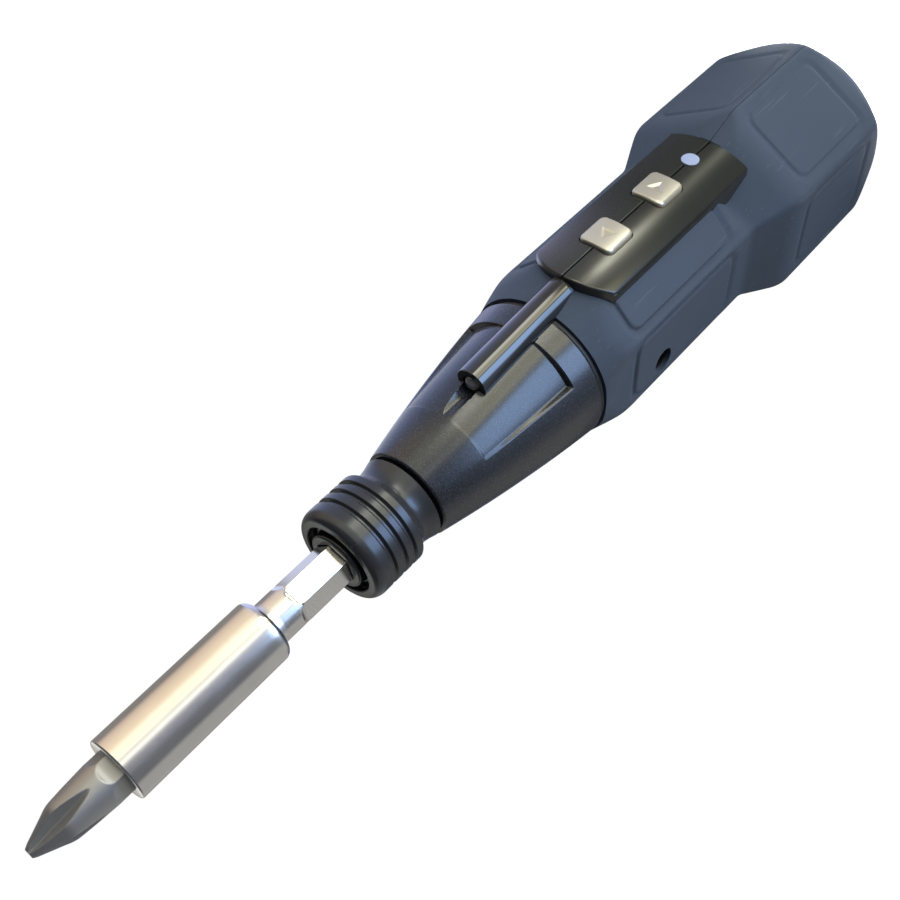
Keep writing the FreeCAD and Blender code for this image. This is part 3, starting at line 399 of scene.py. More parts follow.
def new_object(name, points, faces, finish=None):
    """A mesh object with its normals turned out."""
    mesh = bpy.data.meshes.new(name)
    mesh.from_pydata([Vector(point) * MM for point in points], [], faces)
    shape = bmesh.new()
    shape.from_mesh(mesh)
    bmesh.ops.recalc_face_normals(shape, faces=shape.faces)
    shape.to_mesh(mesh)
    shape.free()
    if finish:
        mesh.materials.append(finishes[finish])
    return add_object(name, mesh)


def baked(piece):
    """Applies the piece's modifiers to its mesh and removes them."""
    graph = bpy.context.evaluated_depsgraph_get()
    piece.data = bpy.data.meshes.new_from_object(piece.evaluated_get(graph))
    piece.modifiers.clear()


def cut(piece, cutters):
    """Cuts closed objects out of a piece."""
    for cutter in cutters:
        step = piece.modifiers.new("cut", "BOOLEAN")
        step.operation = "DIFFERENCE"
        step.solver = "EXACT"
        step.object = cutter
    baked(piece)
    for cutter in cutters:
        bpy.data.objects.remove(cutter)


def circle(radius, steps=40):
    turns = [2 * pi * k / steps for k in range(steps)]
    return [(radius * cos(t), radius * sin(t)) for t in turns]


def prism(name, loop, direction):
    """A closed prism from a loop of points, along a direction."""
    far_loop = [tuple(a + b for a, b in zip(point, direction)) for point in loop]
    return new_object(name, *capped([loop, far_loop]))


def hand_over(piece, host, angle=None, extra=False):
    """The piece rides on the body of the solid named host, and stands for that solid unless it is an extra.
    With an angle, its faces are smooth but for edges that are sharper."""
    if angle:
        piece.data.shade_smooth()
        piece.data.set_sharp_from_angle(angle=radians(angle))
    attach(piece, nodes[host]["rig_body"])
    if not extra:
        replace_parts(piece, host)
    made_pieces.append(piece)
    print(piece.name, "faces:", len(piece.data.polygons))


print("grid helpers ready")

# %% [markdown]
# The grip is a rubber skin, moulded over the shells in two halves. On the flats it has outlined pads: a steep
# inner edge and a wide outer slope. The form is a hexagon with a turned limit, and soft minimum and maximum
# functions round the edges between them, so the corners read as rubber. Beside the panel the flats turn
# outwards, so that only a low wall of the panel shows.

# %% Rubber grip halves
TAIL_FLAT, BODY_FLAT = 17.3, 13.525
TAIL_FRONT, STEP_LENGTH, BODY_FRONT = 33.2, 8.8, 84.5
TAIL_CORNER, BODY_CLEAR = 19.945, 15.82
TAIL_END_RADIUS, TAIL_END_SLOPE = 15.55, 0.815
TAPER_FROM, TAPER_SLOPE = 32.7, 0.43
FRONT_RADIUS, FRONT_SLOPE = 13.70, 0.285
SKIN = 0.95
SEAM_HALF = 0.05
PANEL_RADIUS, PANEL_HALF, PANEL_REAR = 17.05, 7.97, 36.6
PANEL_AZIMUTH = 28.2
PANEL_FALL, PANEL_SIDE_FALL = 0.39, 0.3
UNDER_PANEL, UNDER_PANEL_TO = 15.4, 46.0
NO_LIMIT, NEARLY_ZERO = 99.0, 1e-6
STEP_EASE, FOOT_EASE = 0.9, 0.4
LIMIT_EASE, TAPER_EASE = 0.8, 0.6
CORNER_EASE, TURN_EASE, ROOM_EASE = 0.8, 0.6, 0.4
FLANK, FLANK_MOST, FLANK_LEAST_COS = 15.05, 15.8, 0.5
FLANK_FROM, FLANK_LENGTH = 42.0, 4.0
FLANK_EDGE, FLANK_EASE = 23.0, 3.0
FLANK_MIDDLE, FLANK_END, FLANK_FADE = 45.0, 60.0, 8.0
AHEAD_FROM, AHEAD_EASE = 75.0, 2.0
PAD_CORNER, PAD_BAND, PAD_WALL = 2.2, 1.7, 0.5
TAIL_PAD = (7.59, 7.8, 28.9, 0.25)
BODY_PAD = (6.31, 47.4, 76.0, 0.42)
PORT_HALF, PORT_END = 2.9, 1.7
SCREW_PLACES = [(3.5, 67.6), (12.5, 19.4), (12.5, 30.4)]
SCREW_HOLE = 2.3
HOLE_FROM, HOLE_LENGTH = -24.0, 17.0


def soft_min(a, b, width):
    gap = max(width - abs(a - b), 0.0)
    return min(a, b) - gap * gap / (4 * width)


def soft_max(a, b, width):
    return -soft_min(-a, -b, width)


def flat_distance(z):
    """How far the flats stand from the axis: the tail's flats, the sloping step and the body's flats."""
    slope = TAIL_FLAT - (z - TAIL_FRONT) * (TAIL_FLAT - BODY_FLAT) / STEP_LENGTH
    return soft_max(soft_min(TAIL_FLAT, slope, STEP_EASE), BODY_FLAT, FOOT_EASE)


def turned_limit(z):
    """The radius to which the corners are turned off."""
    rear = soft_min(TAIL_END_RADIUS + z * TAIL_END_SLOPE, TAIL_CORNER, LIMIT_EASE)
    taper = soft_max(TAIL_CORNER - (z - TAPER_FROM) * TAPER_SLOPE, BODY_CLEAR, TAPER_EASE)
    front = FRONT_RADIUS + (BODY_FRONT - z) * FRONT_SLOPE
    return soft_min(soft_min(rear, taper, LIMIT_EASE), front, LIMIT_EASE)


def box_distance(x, z, half_x, half_z, corner):
    """Distance from a rounded rectangle's outline, negative inside."""
    dx = abs(x) - half_x + corner
    dz = abs(z) - half_z + corner
    return hypot(max(dx, 0.0), max(dz, 0.0)) + min(max(dx, dz), 0.0) - corner


def eased(share):
    share = min(max(share, 0.0), 1.0)
    return share * share * (3 - 2 * share)


def panel_room(azimuth, z):
    """The top corner of the tail falls to the panel's rear edge, and the grip stays under the panel."""
    beside = max(azimuth - PANEL_AZIMUTH, 0.0)
    if z < PANEL_REAR:
        return PANEL_RADIUS + (PANEL_REAR - z) * PANEL_FALL + beside * PANEL_SIDE_FALL
    return UNDER_PANEL if beside == 0.0 and z < UNDER_PANEL_TO else NO_LIMIT


def flank_rise(azimuth, z, radius):
    """Beside the panel the flats turn outwards and stand nearly as high as the panel."""
    ahead = eased((z - AHEAD_FROM) / AHEAD_EASE)
    share = max(eased((azimuth - FLANK_EDGE) / FLANK_EASE), ahead)
    share *= eased((FLANK_END - azimuth) / FLANK_FADE) * eased((z - FLANK_FROM) / FLANK_LENGTH)
    height = min(FLANK / max(cos(radians(azimuth - FLANK_MIDDLE)), FLANK_LEAST_COS), FLANK_MOST)
    return share * max(height - radius, 0.0)


def hexagon(azimuth, flat, width):
    """The radius of a hexagon with rounded corners, whose first flat is at an azimuth of 30."""
    turn = radians(azimuth % 60 - 30)
    return soft_min(flat / cos(turn), flat / cos(radians(60) - abs(turn)), width)


def grip_radius(azimuth, z):
    corner = hexagon(azimuth, flat_distance(z), CORNER_EASE)
    corner += flank_rise(azimuth, z, corner)
    return soft_min(soft_min(corner, turned_limit(z), TURN_EASE), panel_room(azimuth, z), ROOM_EASE)


def pad_dip(azimuth, z):
    half, low, high, depth = TAIL_PAD if z < PANEL_REAR else BODY_PAD
    across = flat_distance(z) * tan(radians(azimuth % 60 - 30))
    outside = box_distance(across, z - (low + high) / 2, half, (high - low) / 2, PAD_CORNER)
    share = outside / PAD_BAND if outside > 0 else -outside / PAD_WALL
    return depth * (1 - eased(share))


def port_edge(azimuth):
    """The charging opening's outline: a slot with round ends."""
    across = abs(sin(radians(azimuth)))
    along = abs(cos(radians(azimuth)))
    if along > NEARLY_ZERO and PORT_END / along * across <= PORT_HALF:
        return PORT_END / along
    return PORT_HALF * across + sqrt(PORT_END * PORT_END - PORT_HALF * PORT_HALF * along * along)


facet = spaced(-30, (-27, 0.5), (-22, 0.4), (-18, 1.3), (-6, 6), (-2.2, 1.9), (-1.2, 0.25), (18, 6.4),
               (22, 1.3), (27, 0.4), (30, 0.5))
columns = [middle + offset for middle in (30, 90, 150) for offset in facet[:-1]] + [180]
grip_rows = spaced(
    0, (4, 0.8), (6, 0.4), (8.4, 0.2), (10.4, 0.4), (26.4, 2), (28.4, 0.4), (30.8, 0.2), (34.4, 0.2),
    (36.5, 0.3), (36.6, 0.1), (43.4, 0.2), (45.6, 0.55), (48, 0.2), (50, 0.4), (73.4, 2.2), (75.4, 0.4),
    (78, 0.2), (BODY_FRONT, 0.5))
inner_rows = [84.5, 79, 77, 60, 43, 42, 41, 40, 39, 38, 37, 33, 20, 6, 3, 1.0]


def grip_point(side, azimuth, radius, z):
    angle = radians(azimuth)
    return (side * max(radius * sin(angle), SEAM_HALF), -radius * cos(angle), z)


def grip_half(name, side):
    def row(radius_at, z):
        return [grip_point(side, azimuth, radius_at(azimuth), z) for azimuth in columns]

    rows = [row(port_edge, 0.0), row(lambda a: (port_edge(a) + grip_radius(a, 0.0)) / 2, 0.0)]
    rows += [row(lambda a: grip_radius(a, z) - pad_dip(a, z), z) for z in grip_rows]
    rows += [row(lambda a: grip_radius(a, z) - SKIN, z) for z in inner_rows]
    rows.append(row(port_edge, SKIN))
    points, faces = lofted(rows, wrap=True)
    count = len(columns)
    faces.append(tuple(j * count for j in range(len(rows))))
    faces.append(tuple(j * count + count - 1 for j in range(len(rows))))
    return new_object(name, points, faces, "soft_grip")


for name, side in (("left_grip", -1), ("right_grip", 1)):
    grip = grip_half(name + "_rubber", side)
    if side < 0:
        holes = []
        for k, (y, z) in enumerate(SCREW_PLACES):
            loop = [(HOLE_FROM, y + a, z + b) for a, b in circle(SCREW_HOLE)]
            holes.append(prism("screw_hole_%d" % k, loop, (HOLE_LENGTH, 0.0, 0.0)))
        cut(grip, holes)
    hand_over(grip, name, SOFT_ANGLE)

# %% [markdown]
# The nose cone is one painted moulding. It bulges a little, has a sloping finger recess on each side of the
# lamp, a cradle for the lamp tube and a notch that lets the light past. All of it is one radius for each
# azimuth and height, so it is a turned grid with dips. A dark ring in the joint to the body is painted shade.

# %% Nose cone and painted joint shade
CONE_REAR, CONE_FRONT, CONE_LENGTH = 85.25, 118.6, 34.1
CONE_REAR_RADIUS, CONE_FRONT_RADIUS = 13.55, 7.9
CONE_REAR_EDGE, CONE_FRONT_EDGE = 0.5, 0.4
CONE_BULGE = 0.5
RECESS_FROM, RECESS_TO = 6.0, 56.8
RECESS_REAR, RECESS_FRONT = 90.0, 109.1
RECESS_DEPTH, RECESS_LEAST = 0.95, 0.08
RECESS_WALL, RECESS_END = 0.9, 0.5
RECESS_START = 0.25
LAMP_REAR = (13.42, 78.7)
LAMP_FRONT = (11.4, 102.3)
CRADLE, NOTCH = 2.7, 1.5
CRADLE_STEP, CRADLE_REAR, CRADLE_FRONT = 95.6, 10.4, 8.9
CONE_INSIDE = [(5.7, 118.6), (5.7, 117.4), (6.5, 117.4), (6.5, 107.3), (8.55, 107.3), (8.55, 95.2),
               (10.05, 95.2), (10.05, 77.3), (11.2, 77.3), (11.2, 85.25)]
JOINT_SHADE_PROFILE = [(11.3, 84.52), (13.0, 84.52), (13.1, 84.6), (13.1, 85.15), (13.0, 85.23), (11.3, 85.23)]


def cone_radius(z):
    share = (z - BODY_FRONT) / CONE_LENGTH
    line = CONE_REAR_RADIUS + (CONE_FRONT_RADIUS - CONE_REAR_RADIUS) * share
    return line + CONE_BULGE * 4 * share * (1 - share)


def edge_drop(inside, radius):
    """How far a rounded edge falls away at a distance inside the edge."""
    if inside >= radius:
        return 0.0
    reach = radius - max(inside, 0.0)
    return radius - sqrt(radius * radius - reach * reach)


def recess_dip(azimuth, z, radius):
    """A finger recess: deep at its rear wall and running out to the front, with a narrow side wall."""
    depth = RECESS_LEAST + RECESS_DEPTH * (RECESS_FRONT - z) / (RECESS_FRONT - RECESS_REAR)
    inside = radians(min(abs(azimuth) - RECESS_FROM, RECESS_TO - abs(azimuth))) * radius
    across = (1 - RECESS_START) * (abs(azimuth) - RECESS_FROM) / (RECESS_TO - RECESS_FROM)
    ends = eased((z - RECESS_REAR) / RECESS_END) * eased((RECESS_FRONT - z) / RECESS_END)
    return depth * eased(RECESS_START + across) * ends * eased(inside / RECESS_WALL)


def groove_radius(azimuth, distance, radius):
    """Where a ray from the axis meets a round groove along Z, or no limit where it misses."""
    angle = radians(azimuth)
    inside = radius * radius - (distance * sin(angle)) ** 2
    if inside <= 0 or abs(azimuth) > 90:
        return NO_LIMIT
    return distance * cos(angle) - sqrt(inside)


def nose_radius(azimuth, z):
    radius = cone_radius(z)
    radius -= recess_dip(azimuth, z, radius)
    radius -= edge_drop(z - CONE_REAR, CONE_REAR_EDGE) + edge_drop(CONE_FRONT - z, CONE_FRONT_EDGE)
    if z < LAMP_FRONT[1]:
        share = (z - LAMP_REAR[1]) / (LAMP_FRONT[1] - LAMP_REAR[1])
        distance = LAMP_REAR[0] + (LAMP_FRONT[0] - LAMP_REAR[0]) * share
        least = CRADLE_REAR if z < CRADLE_STEP else CRADLE_FRONT
        return min(radius, max(groove_radius(azimuth, distance, CRADLE), least))
    return min(radius, groove_radius(azimuth, LAMP_FRONT[0], NOTCH))


def turned_point(radius, azimuth, z):
    angle = radians(azimuth)
    return (radius * sin(angle), -radius * cos(angle), z)


def turned_rows(profile, azimuths):
    """Rows round the axis through (radius, z) points."""
    return [[turned_point(radius, a, z) for a in azimuths] for radius, z in profile]


def formed_rows(radius_at, azimuths, heights):
    """Rows round the axis, whose radius depends on the azimuth and the height."""
    return [[turned_point(radius_at(a, z), a, z) for a in azimuths] for z in heights]


def turned_ring(name, rows, finish=None):
    """A closed piece whose rows go round its section."""
    return new_object(name, *lofted(rows, around=True, wrap=True), finish)


cone_columns = spaced(-180, (-60, 3), (-57.2, 0.7), (-51.2, 0.25), (-16, 1.6), (16, 0.5), (51.2, 1.6),
                      (57.2, 0.25), (60, 0.7), (180, 3))[:-1]
cone_rows = spaced(CONE_REAR, (86, 0.08), (89.8, 0.6), (90.6, 0.06), (102.2, 0.5), (102.4, 0.05),
                   (108.5, 0.3), (109.2, 0.1), (117.9, 0.7), (CONE_FRONT, 0.08))
rows = formed_rows(nose_radius, cone_columns, cone_rows) + turned_rows(CONE_INSIDE, cone_columns)
hand_over(turned_ring("nose_cone_painted", rows, "cone_plastic"), "nose_cone", HARD_ANGLE)
# The dark ring in the joint to the body is painted shade: it stands for the shadow in the gap there.
joint_shade = turned_ring("joint_shade_ring", turned_rows(JOINT_SHADE_PROFILE, range(0, 360, 3)), "switch_black")
hand_over(joint_shade, "nose_cone", SHARP_ANGLE, extra=True)

# %% [markdown]
# The panel is a polished cover with rounded edges, parted along the middle like the shells. Its top follows a
# cylinder, its front is bowed, and its edges roll over into straight walls. Windows are cut for the buttons
# and the charge lamp.

# %% Panel covers
PANEL_SEAM, SEAM_EDGE = 0.12, 0.2
PANEL_CORNER, PANEL_BOW = 75.7, 3.72
PANEL_EDGE, PANEL_FOOT = 0.42, -10.9
COVER = 0.35
BUTTON_PLACES = {"forward_button": 67.5, "reverse_button": 52.9}
INDICATOR_PLACE, INDICATOR_RADIUS = 42.8, 1.66
WINDOW = (3.42, 3.67, 1.3)
WINDOW_FROM, WINDOW_DEPTH = -20.0, 8.0
bow_radius = (PANEL_HALF ** 2 + PANEL_BOW ** 2) / (2 * PANEL_BOW)
bow_middle = PANEL_CORNER + PANEL_BOW - bow_radius


def panel_front(x):
    return bow_middle + sqrt(bow_radius ** 2 - x * x)


def panel_height(x, z):
    side = max(PANEL_EDGE - (PANEL_HALF - x), 0.0)
    ahead = max(PANEL_EDGE - (bow_radius - hypot(x, max(z - bow_middle, 0.0))), 0.0)
    reach = min(hypot(side, ahead), PANEL_EDGE)
    drop = PANEL_EDGE - sqrt(PANEL_EDGE ** 2 - reach ** 2)
    drop += edge_drop(x - PANEL_SEAM, SEAM_EDGE)
    return -sqrt(PANEL_RADIUS ** 2 - x * x) + drop


def panel_cover(name, side):
    across = spaced(PANEL_SEAM, (0.36, 0.03), (7.4, 0.45), (PANEL_HALF, 0.05))
    shares = spaced(0.0, (0.9, 0.04), (0.984, 0.01), (1.0, 0.0012))
    top, under = [], []
    for share in shares + [1.0]:
        outer, inner = [], []
        last_row = len(top) == len(shares)
        for k, x in enumerate(across + [PANEL_HALF]):
            wall = last_row or k == len(across)
            z = PANEL_REAR + share * (panel_front(x) - PANEL_REAR)
            y = PANEL_FOOT if wall else panel_height(x, z)
            outer.append((side * x, y, z))
            inner_x = min(x, PANEL_HALF - COVER)
            inner_z = min(z, panel_front(inner_x) - COVER)
            inner_y = PANEL_FOOT if wall else -sqrt(PANEL_RADIUS ** 2 - inner_x ** 2) + COVER
            inner.append((side * inner_x, inner_y, inner_z))
        top.append(outer)
        under.append(inner)
    return new_object(name, *closed_sheet(top, under), "panel_plastic")


def rounded_loop(half_x, half_z, corner, steps=8):
    """A rounded rectangle as (x, z) points."""
    loop = []
    for turn, (sign_x, sign_z) in enumerate(((1, 1), (-1, 1), (-1, -1), (1, -1))):
        for k in range(steps + 1):
            angle = pi / 2 * (turn + k / steps)
            loop.append((sign_x * (half_x - corner) + corner * cos(angle),
                         sign_z * (half_z - corner) + corner * sin(angle)))
    return loop


openings = {name: (place, rounded_loop(*WINDOW)) for name, place in BUTTON_PLACES.items()}
openings["lamp"] = (INDICATOR_PLACE, circle(INDICATOR_RADIUS))
for name, side in (("left_shell", -1), ("right_shell", 1)):
    cover = panel_cover(name.replace("shell", "panel_cover"), side)
    windows = []
    for label, (place, outline) in openings.items():
        loop = [(x, WINDOW_FROM, place + z) for x, z in outline]
        windows.append(prism("window_" + label, loop, (0.0, WINDOW_DEPTH, 0.0)))
    cut(cover, windows)
    hand_over(cover, name, HARD_ANGLE, extra=True)

# %% [markdown]
# Each button is a plated cap with a rounded rim, a crowned face and a triangle pressed into it. The face is a
# grid that is drawn in at the corners, so that its rim follows the rounded outline. A flange keeps it in.

# %% Buttons
BUTTON_HALF_X, BUTTON_HALF_Z, BUTTON_CORNER = 3.2, 3.45, 1.1
BUTTON_RADIUS, BUTTON_RIM, BUTTON_BASE = 17.77, 0.5, -14.13
BUTTON_STEPS, HALVINGS, DRAW_POWER = 36, 24, 6
FLANGE_HALF_X, FLANGE_HALF_Z = 3.9, 4.15
FLANGE_TOP, FLANGE_BELOW = -14.87, 0.01
MARK, MARK_DEPTH, MARK_SLOPE = 3.4, 0.3, 0.5
MARK_FOOT, MARK_POINT = 0.3 * MARK, 0.45 * MARK


def button_edge(x, z):
    """Distance from the button's outline, negative inside."""
    return box_distance(x, z, BUTTON_HALF_X, BUTTON_HALF_Z, BUTTON_CORNER)


def drawn_in(s, t):
    """Maps a square with sides from -1 to 1 to the button's rounded outline."""
    x, z = s * BUTTON_HALF_X, t * BUTTON_HALF_Z
    edge = max(abs(s), abs(t))
    if edge < NEARLY_ZERO:
        return x, z
    low, high = 0.5, 1.0
    for _ in range(HALVINGS):
        middle = (low + high) / 2
        if button_edge(x / edge * middle, z / edge * middle) > 0:
            high = middle
        else:
            low = middle
    scale = 1 + (low - 1) * edge ** DRAW_POWER
    return x * scale, z * scale


def mark_depth(x, z, tip):
    """A pressed triangle with its tip along Z in the direction of tip."""
    along = z * tip
    slope = (MARK / 2) / (MARK_FOOT + MARK_POINT)
    side = (MARK_POINT - along) * slope - abs(x)
    inside = min(along + MARK_FOOT, side / hypot(1.0, slope))
    return MARK_DEPTH * eased(inside / MARK_SLOPE)


def cap_height(x, z, tip):
    crown = -sqrt(BUTTON_RADIUS ** 2 - x * x)
    return crown + edge_drop(-button_edge(x, z), BUTTON_RIM) + mark_depth(x, z, tip)


def plated_button(name, place, tip):
    steps = [k / BUTTON_STEPS for k in range(-BUTTON_STEPS, BUTTON_STEPS + 1)]
    grid = [[drawn_in(s, t) for s in steps] for t in steps]
    top = [[(x, cap_height(x, z, tip), place + z) for x, z in row] for row in grid]
    under = [[(x, BUTTON_BASE, place + z) for x, z in row] for row in grid]
    points, faces = closed_sheet(top, under)
    outline = rounded_loop(FLANGE_HALF_X, FLANGE_HALF_Z, BUTTON_CORNER)
    loops = [[(x, y, place + z) for x, z in outline] for y in (FLANGE_TOP, BUTTON_BASE - FLANGE_BELOW)]
    more, flange = capped(loops)
    faces += [tuple(len(points) + i for i in face) for face in flange]
    return new_object(name, points + more, faces, "button_silver")


for name, place in BUTTON_PLACES.items():
    cap = plated_button(name + "_plated", place, 1 if name == "forward_button" else -1)
    hand_over(cap, name, SOFT_ANGLE)

# %% [markdown]
# The collar is turned from bar: a flared neck, rounded ribs and a rolled lip round the mouth. A dark ring in
# its mouth is the spindle's nose. The bit holder is one turned and milled piece. Its hexagon runs out into a
# round neck, which leaves a small curve at the end of each flat.

# %% Collar and bit holder
SLEEVE_RADIUS = 8.35
RIB_GROOVES = (125.8, 127.8, 130.05)
GROOVE_DEPTH, GROOVE_FLOOR, GROOVE_SIDE = 0.5, 0.15, 0.4
HEX_FLAT, HEX_TURN, HEX_EASE = 3.175, 13.4, 0.1
SHANK_CHAMFER = 0.3
NECK_FROM, NECK_RADIUS, NECK_CUTTER = 143.4, 3.55, 2.5
NECK_STEP, NECK_EASE, NECK_ROUND = 0.25, 0.3, 0.05
HOLDER_RADIUS, HOLDER_FRONT = 5.2, 177.0
SOCKET_FLAT, SOCKET_FLOOR, SOCKET_BEVEL = 3.225, 166.5, 0.15
BORE_RADIUS, BORE_FLOOR = 2.45, 163.5


def arc(middle_r, middle_z, radius_r, radius_z, start, end, steps=8):
    """Points (radius, z) on an arc; angles run from the outward direction towards +Z."""
    turns = [radians(start + (end - start) * k / steps) for k in range(steps + 1)]
    return [(middle_r + radius_r * cos(t), middle_z + radius_z * sin(t)) for t in turns]


def rib_radius(z):
    nearest = min(abs(z - groove) for groove in RIB_GROOVES)
    return SLEEVE_RADIUS - GROOVE_DEPTH * (1 - eased((nearest - GROOVE_FLOOR) / GROOVE_SIDE))


profile = [(5.15, 119.2), (7.5, 119.2), (7.65, 119.35), (7.35, 120.4), (7.12, 121.6), (7.1, 122.3),
           (7.25, 122.9), (7.7, 123.5)]
profile += arc(7.85, 124.25, 0.5, 0.5, -50, 0, 5)
profile += [(rib_radius(z), z) for z in spaced(124.4, (132.0, 0.04))]
profile += arc(7.1, 132.0, 1.25, 2.0, 8, 90, 10) + [(6.35, 134.0), (6.2, 133.85), (6.2, 124.6), (5.15, 124.6)]
rows = turned_rows(profile, [2.5 * k for k in range(144)])
hand_over(turned_ring("collar_turned", rows, "dark_steel"), "chuck_sleeve", HARD_ANGLE)


def hex_radius(azimuth, flat):
    return hexagon(azimuth - HEX_TURN, flat, HEX_EASE)


def run_out(ahead, cutter):
    """How far a milled flat has risen at a distance beyond its end, for a cutter of this radius."""
    return 0.0 if ahead <= 0 else cutter - sqrt(max(cutter ** 2 - ahead ** 2, 0.0))


def shank_radius(azimuth, z):
    flat = HEX_FLAT + run_out(z - NECK_FROM, NECK_CUTTER)
    limit = NECK_RADIUS + NECK_STEP * (1 - eased((z - NECK_FROM + NECK_EASE) / (2 * NECK_EASE)))
    milled = soft_min(hex_radius(azimuth, flat), limit, NECK_ROUND)
    return min(milled, HEX_FLAT - SHANK_CHAMFER + z - shank_rear)


def hex_rows(profile):
    """Rows of a hexagon through (flat, z) points."""
    return [[turned_point(hex_radius(a, flat), a, z) for a in hex_columns] for flat, z in profile]


shank_rear = min(vert.co.z for vert in nodes["bit_holder"].data.vertices) / MM
sixth = spaced(0, (2.4, 0.6), (57.6, 2.4), (60, 0.6))[:-1]
hex_columns = [HEX_TURN + 60 * k + offset for k in range(6) for offset in sixth]
profile = [(4.5, 132.6), (4.95, 132.6)] + arc(4.5, 134.05, 0.45, 0.45, 0, 90, 6) + [(3.75, 134.5)]
rows = turned_rows(profile, hex_columns) + hex_rows([(3.4, 134.45), (3.3, 134.3), (3.3, 132.6)])
hand_over(turned_ring("spindle_nose", rows, "dark_steel"), "spindle", SHARP_ANGLE, extra=True)

shank_rows = spaced(shank_rear, (shank_rear + 0.8, 0.2), (142.8, 2.0), (145.4, 0.1), (148.4, 1))
tube = [(3.58, 148.62), (3.66, 148.7), (4.0, 148.7)] + arc(4.0, 149.9, 1.2, 1.2, -80, 0)
tube += [(HOLDER_RADIUS, z) for z in spaced(151, (176, 5))] + arc(4.85, 176.65, 0.35, 0.35, 0, 90)
rows = formed_rows(shank_radius, hex_columns, shank_rows) + turned_rows(tube, hex_columns)
rows += hex_rows([(SOCKET_FLAT + SOCKET_BEVEL, HOLDER_FRONT), (SOCKET_FLAT, HOLDER_FRONT - SOCKET_BEVEL),
                  (SOCKET_FLAT, SOCKET_FLOOR)])
rows += turned_rows([(BORE_RADIUS, SOCKET_FLOOR), (BORE_RADIUS, BORE_FLOOR)], hex_columns)
hand_over(new_object("bit_holder_plated", *capped(rows), "nickel"), "bit_holder", SHARP_ANGLE)

# %% [markdown]
# The bit is forged and ground: its flats run out into a slightly tapered round body, and four flutes are
# ground towards the point. Each flute is a groove with a rounded floor that starts steeply, like the mark of
# a grinding wheel.

# %% Bit
BIT_REAR, BIT_FRONT = 166.55, 191.55
BIT_CHAMFER = 0.2
BIT_HEX_END, BIT_CUTTER = 178.3, 2.6
BIT_BODY, BIT_SHOULDER = 3.62, 3.12
BIT_POINT_FROM = 186.35
FLAT_EASE, POINT_EASE, TIP_EASE = 0.06, 0.25, 0.1
BIT_POINT, BIT_TIP = 1.1, 0.75
BIT_TIP_LENGTH = 0.5
FLUTE_FROM, FLUTE_TURN, FLUTE_RISE = 181.3, -16.6, 3.45
FLUTE_CURVE, FLUTE_ROUND, FLUTE_FLOOR = 1.5, 0.015, 0.88
FLUTE_LEAST, FLUTE_EASE = 0.1, 0.1
WING = 0.62


def bit_turned(z):
    """The turned outline: a tapered body, the point's cone and the small flat tip."""
    body = BIT_BODY - (BIT_BODY - BIT_SHOULDER) * max(z - BIT_HEX_END, 0.0) / (BIT_POINT_FROM - BIT_HEX_END)
    cone_length = BIT_FRONT - BIT_TIP_LENGTH - BIT_POINT_FROM
    cone = BIT_SHOULDER - (BIT_SHOULDER - BIT_POINT) * (z - BIT_POINT_FROM) / cone_length
    tip = BIT_TIP + (BIT_POINT - BIT_TIP) * (BIT_FRONT - z) / BIT_TIP_LENGTH
    return soft_min(soft_min(body, cone, POINT_EASE), tip, TIP_EASE)


def bit_radius(azimuth, z):
    flats = hex_radius(azimuth, HEX_FLAT + run_out(z - BIT_HEX_END, BIT_CUTTER))
    radius = min(soft_min(flats, bit_turned(z), FLAT_EASE), HEX_FLAT - BIT_CHAMFER + z - BIT_REAR)
    along = (z - FLUTE_FROM) / (BIT_FRONT - FLUTE_FROM)
    if along <= 0:
        return radius
    apex = WING + (FLUTE_RISE - WING) * (1 - along) ** FLUTE_CURVE
    off = radians((azimuth - FLUTE_TURN + 45) % 90 - 45)
    opening = cos(off) - sqrt(sin(off) ** 2 + FLUTE_ROUND)
    if opening <= FLUTE_LEAST:
        return radius
    return soft_min(radius, apex * FLUTE_FLOOR / opening, FLUTE_EASE)


bit_columns = [HEX_TURN + k * 1.25 for k in range(288)]
bit_rows = spaced(BIT_REAR, (BIT_REAR + 0.6, 0.15), (177.6, 2.5), (181.6, 0.12), (186, 0.3), (186.8, 0.1),
                  (190.8, 0.3), (BIT_FRONT, 0.08))
rows = formed_rows(bit_radius, bit_columns, bit_rows)
ground = new_object("screwdriver_bit_ground", *capped(rows), "bit_steel")
hand_over(ground, "screwdriver_bit", GROUND_ANGLE)

# %% [markdown]
# The other pieces that show are copies of the solids. A copy is welded, its flat areas are joined, its edges
# get a small bevel with hardened normals, so that flats stay flat, and its curves are shaded smooth. The copy
# rides on the same body and stands for the solid, so nothing moves. The spring behind the collar gets a mesh
# of its own. Solids that no piece stands for only get their finish.

# %% Softened copies of the pieces that show
WELD = 0.002
FLAT_ANGLE = 0.6
SHELLS = ("left_shell", "right_shell")
ROOM_FROM, ROOM_TO, ROOM_STEP = 28.0, 46.0, 36.4
ROOM_PANEL, ROOM_SKIN, ROOM_OUTER = 16.6, 0.8, 26.0
DRAWN_FOOT, DRAWN_RADIUS, DRAWN_BEHIND, DRAWN_TO = -10.5, 15.0, 0.5, 80.0
DRAWN_SHARE, DRAWN_DEPTH, DRAWN_FRONT = 0.95, 0.4, 78.6
EDGE_WIDTHS = {
    "left_shell": 0, "right_shell": 0, "housing_screws": 0, "lamp_tube": 0.15, "lamp": 0, "indicator_lens": 0,
    "charging_socket": 0, "snap_ring": 0.05, "spring_washer": 0, "spindle": 0.08, "holder_magnet": 0.1,
    "chuck_spring": 0,
}


def give_finish(mesh, node):
    mesh.materials.clear()
    mesh.materials.append(finishes["tube_gloss" if node == "lamp_tube" else slot_of[node]])


def room_radius(azimuth, z):
    if z >= PANEL_REAR and abs(azimuth) < PANEL_AZIMUTH:
        return ROOM_PANEL
    return grip_radius(abs(azimuth), z) - ROOM_SKIN


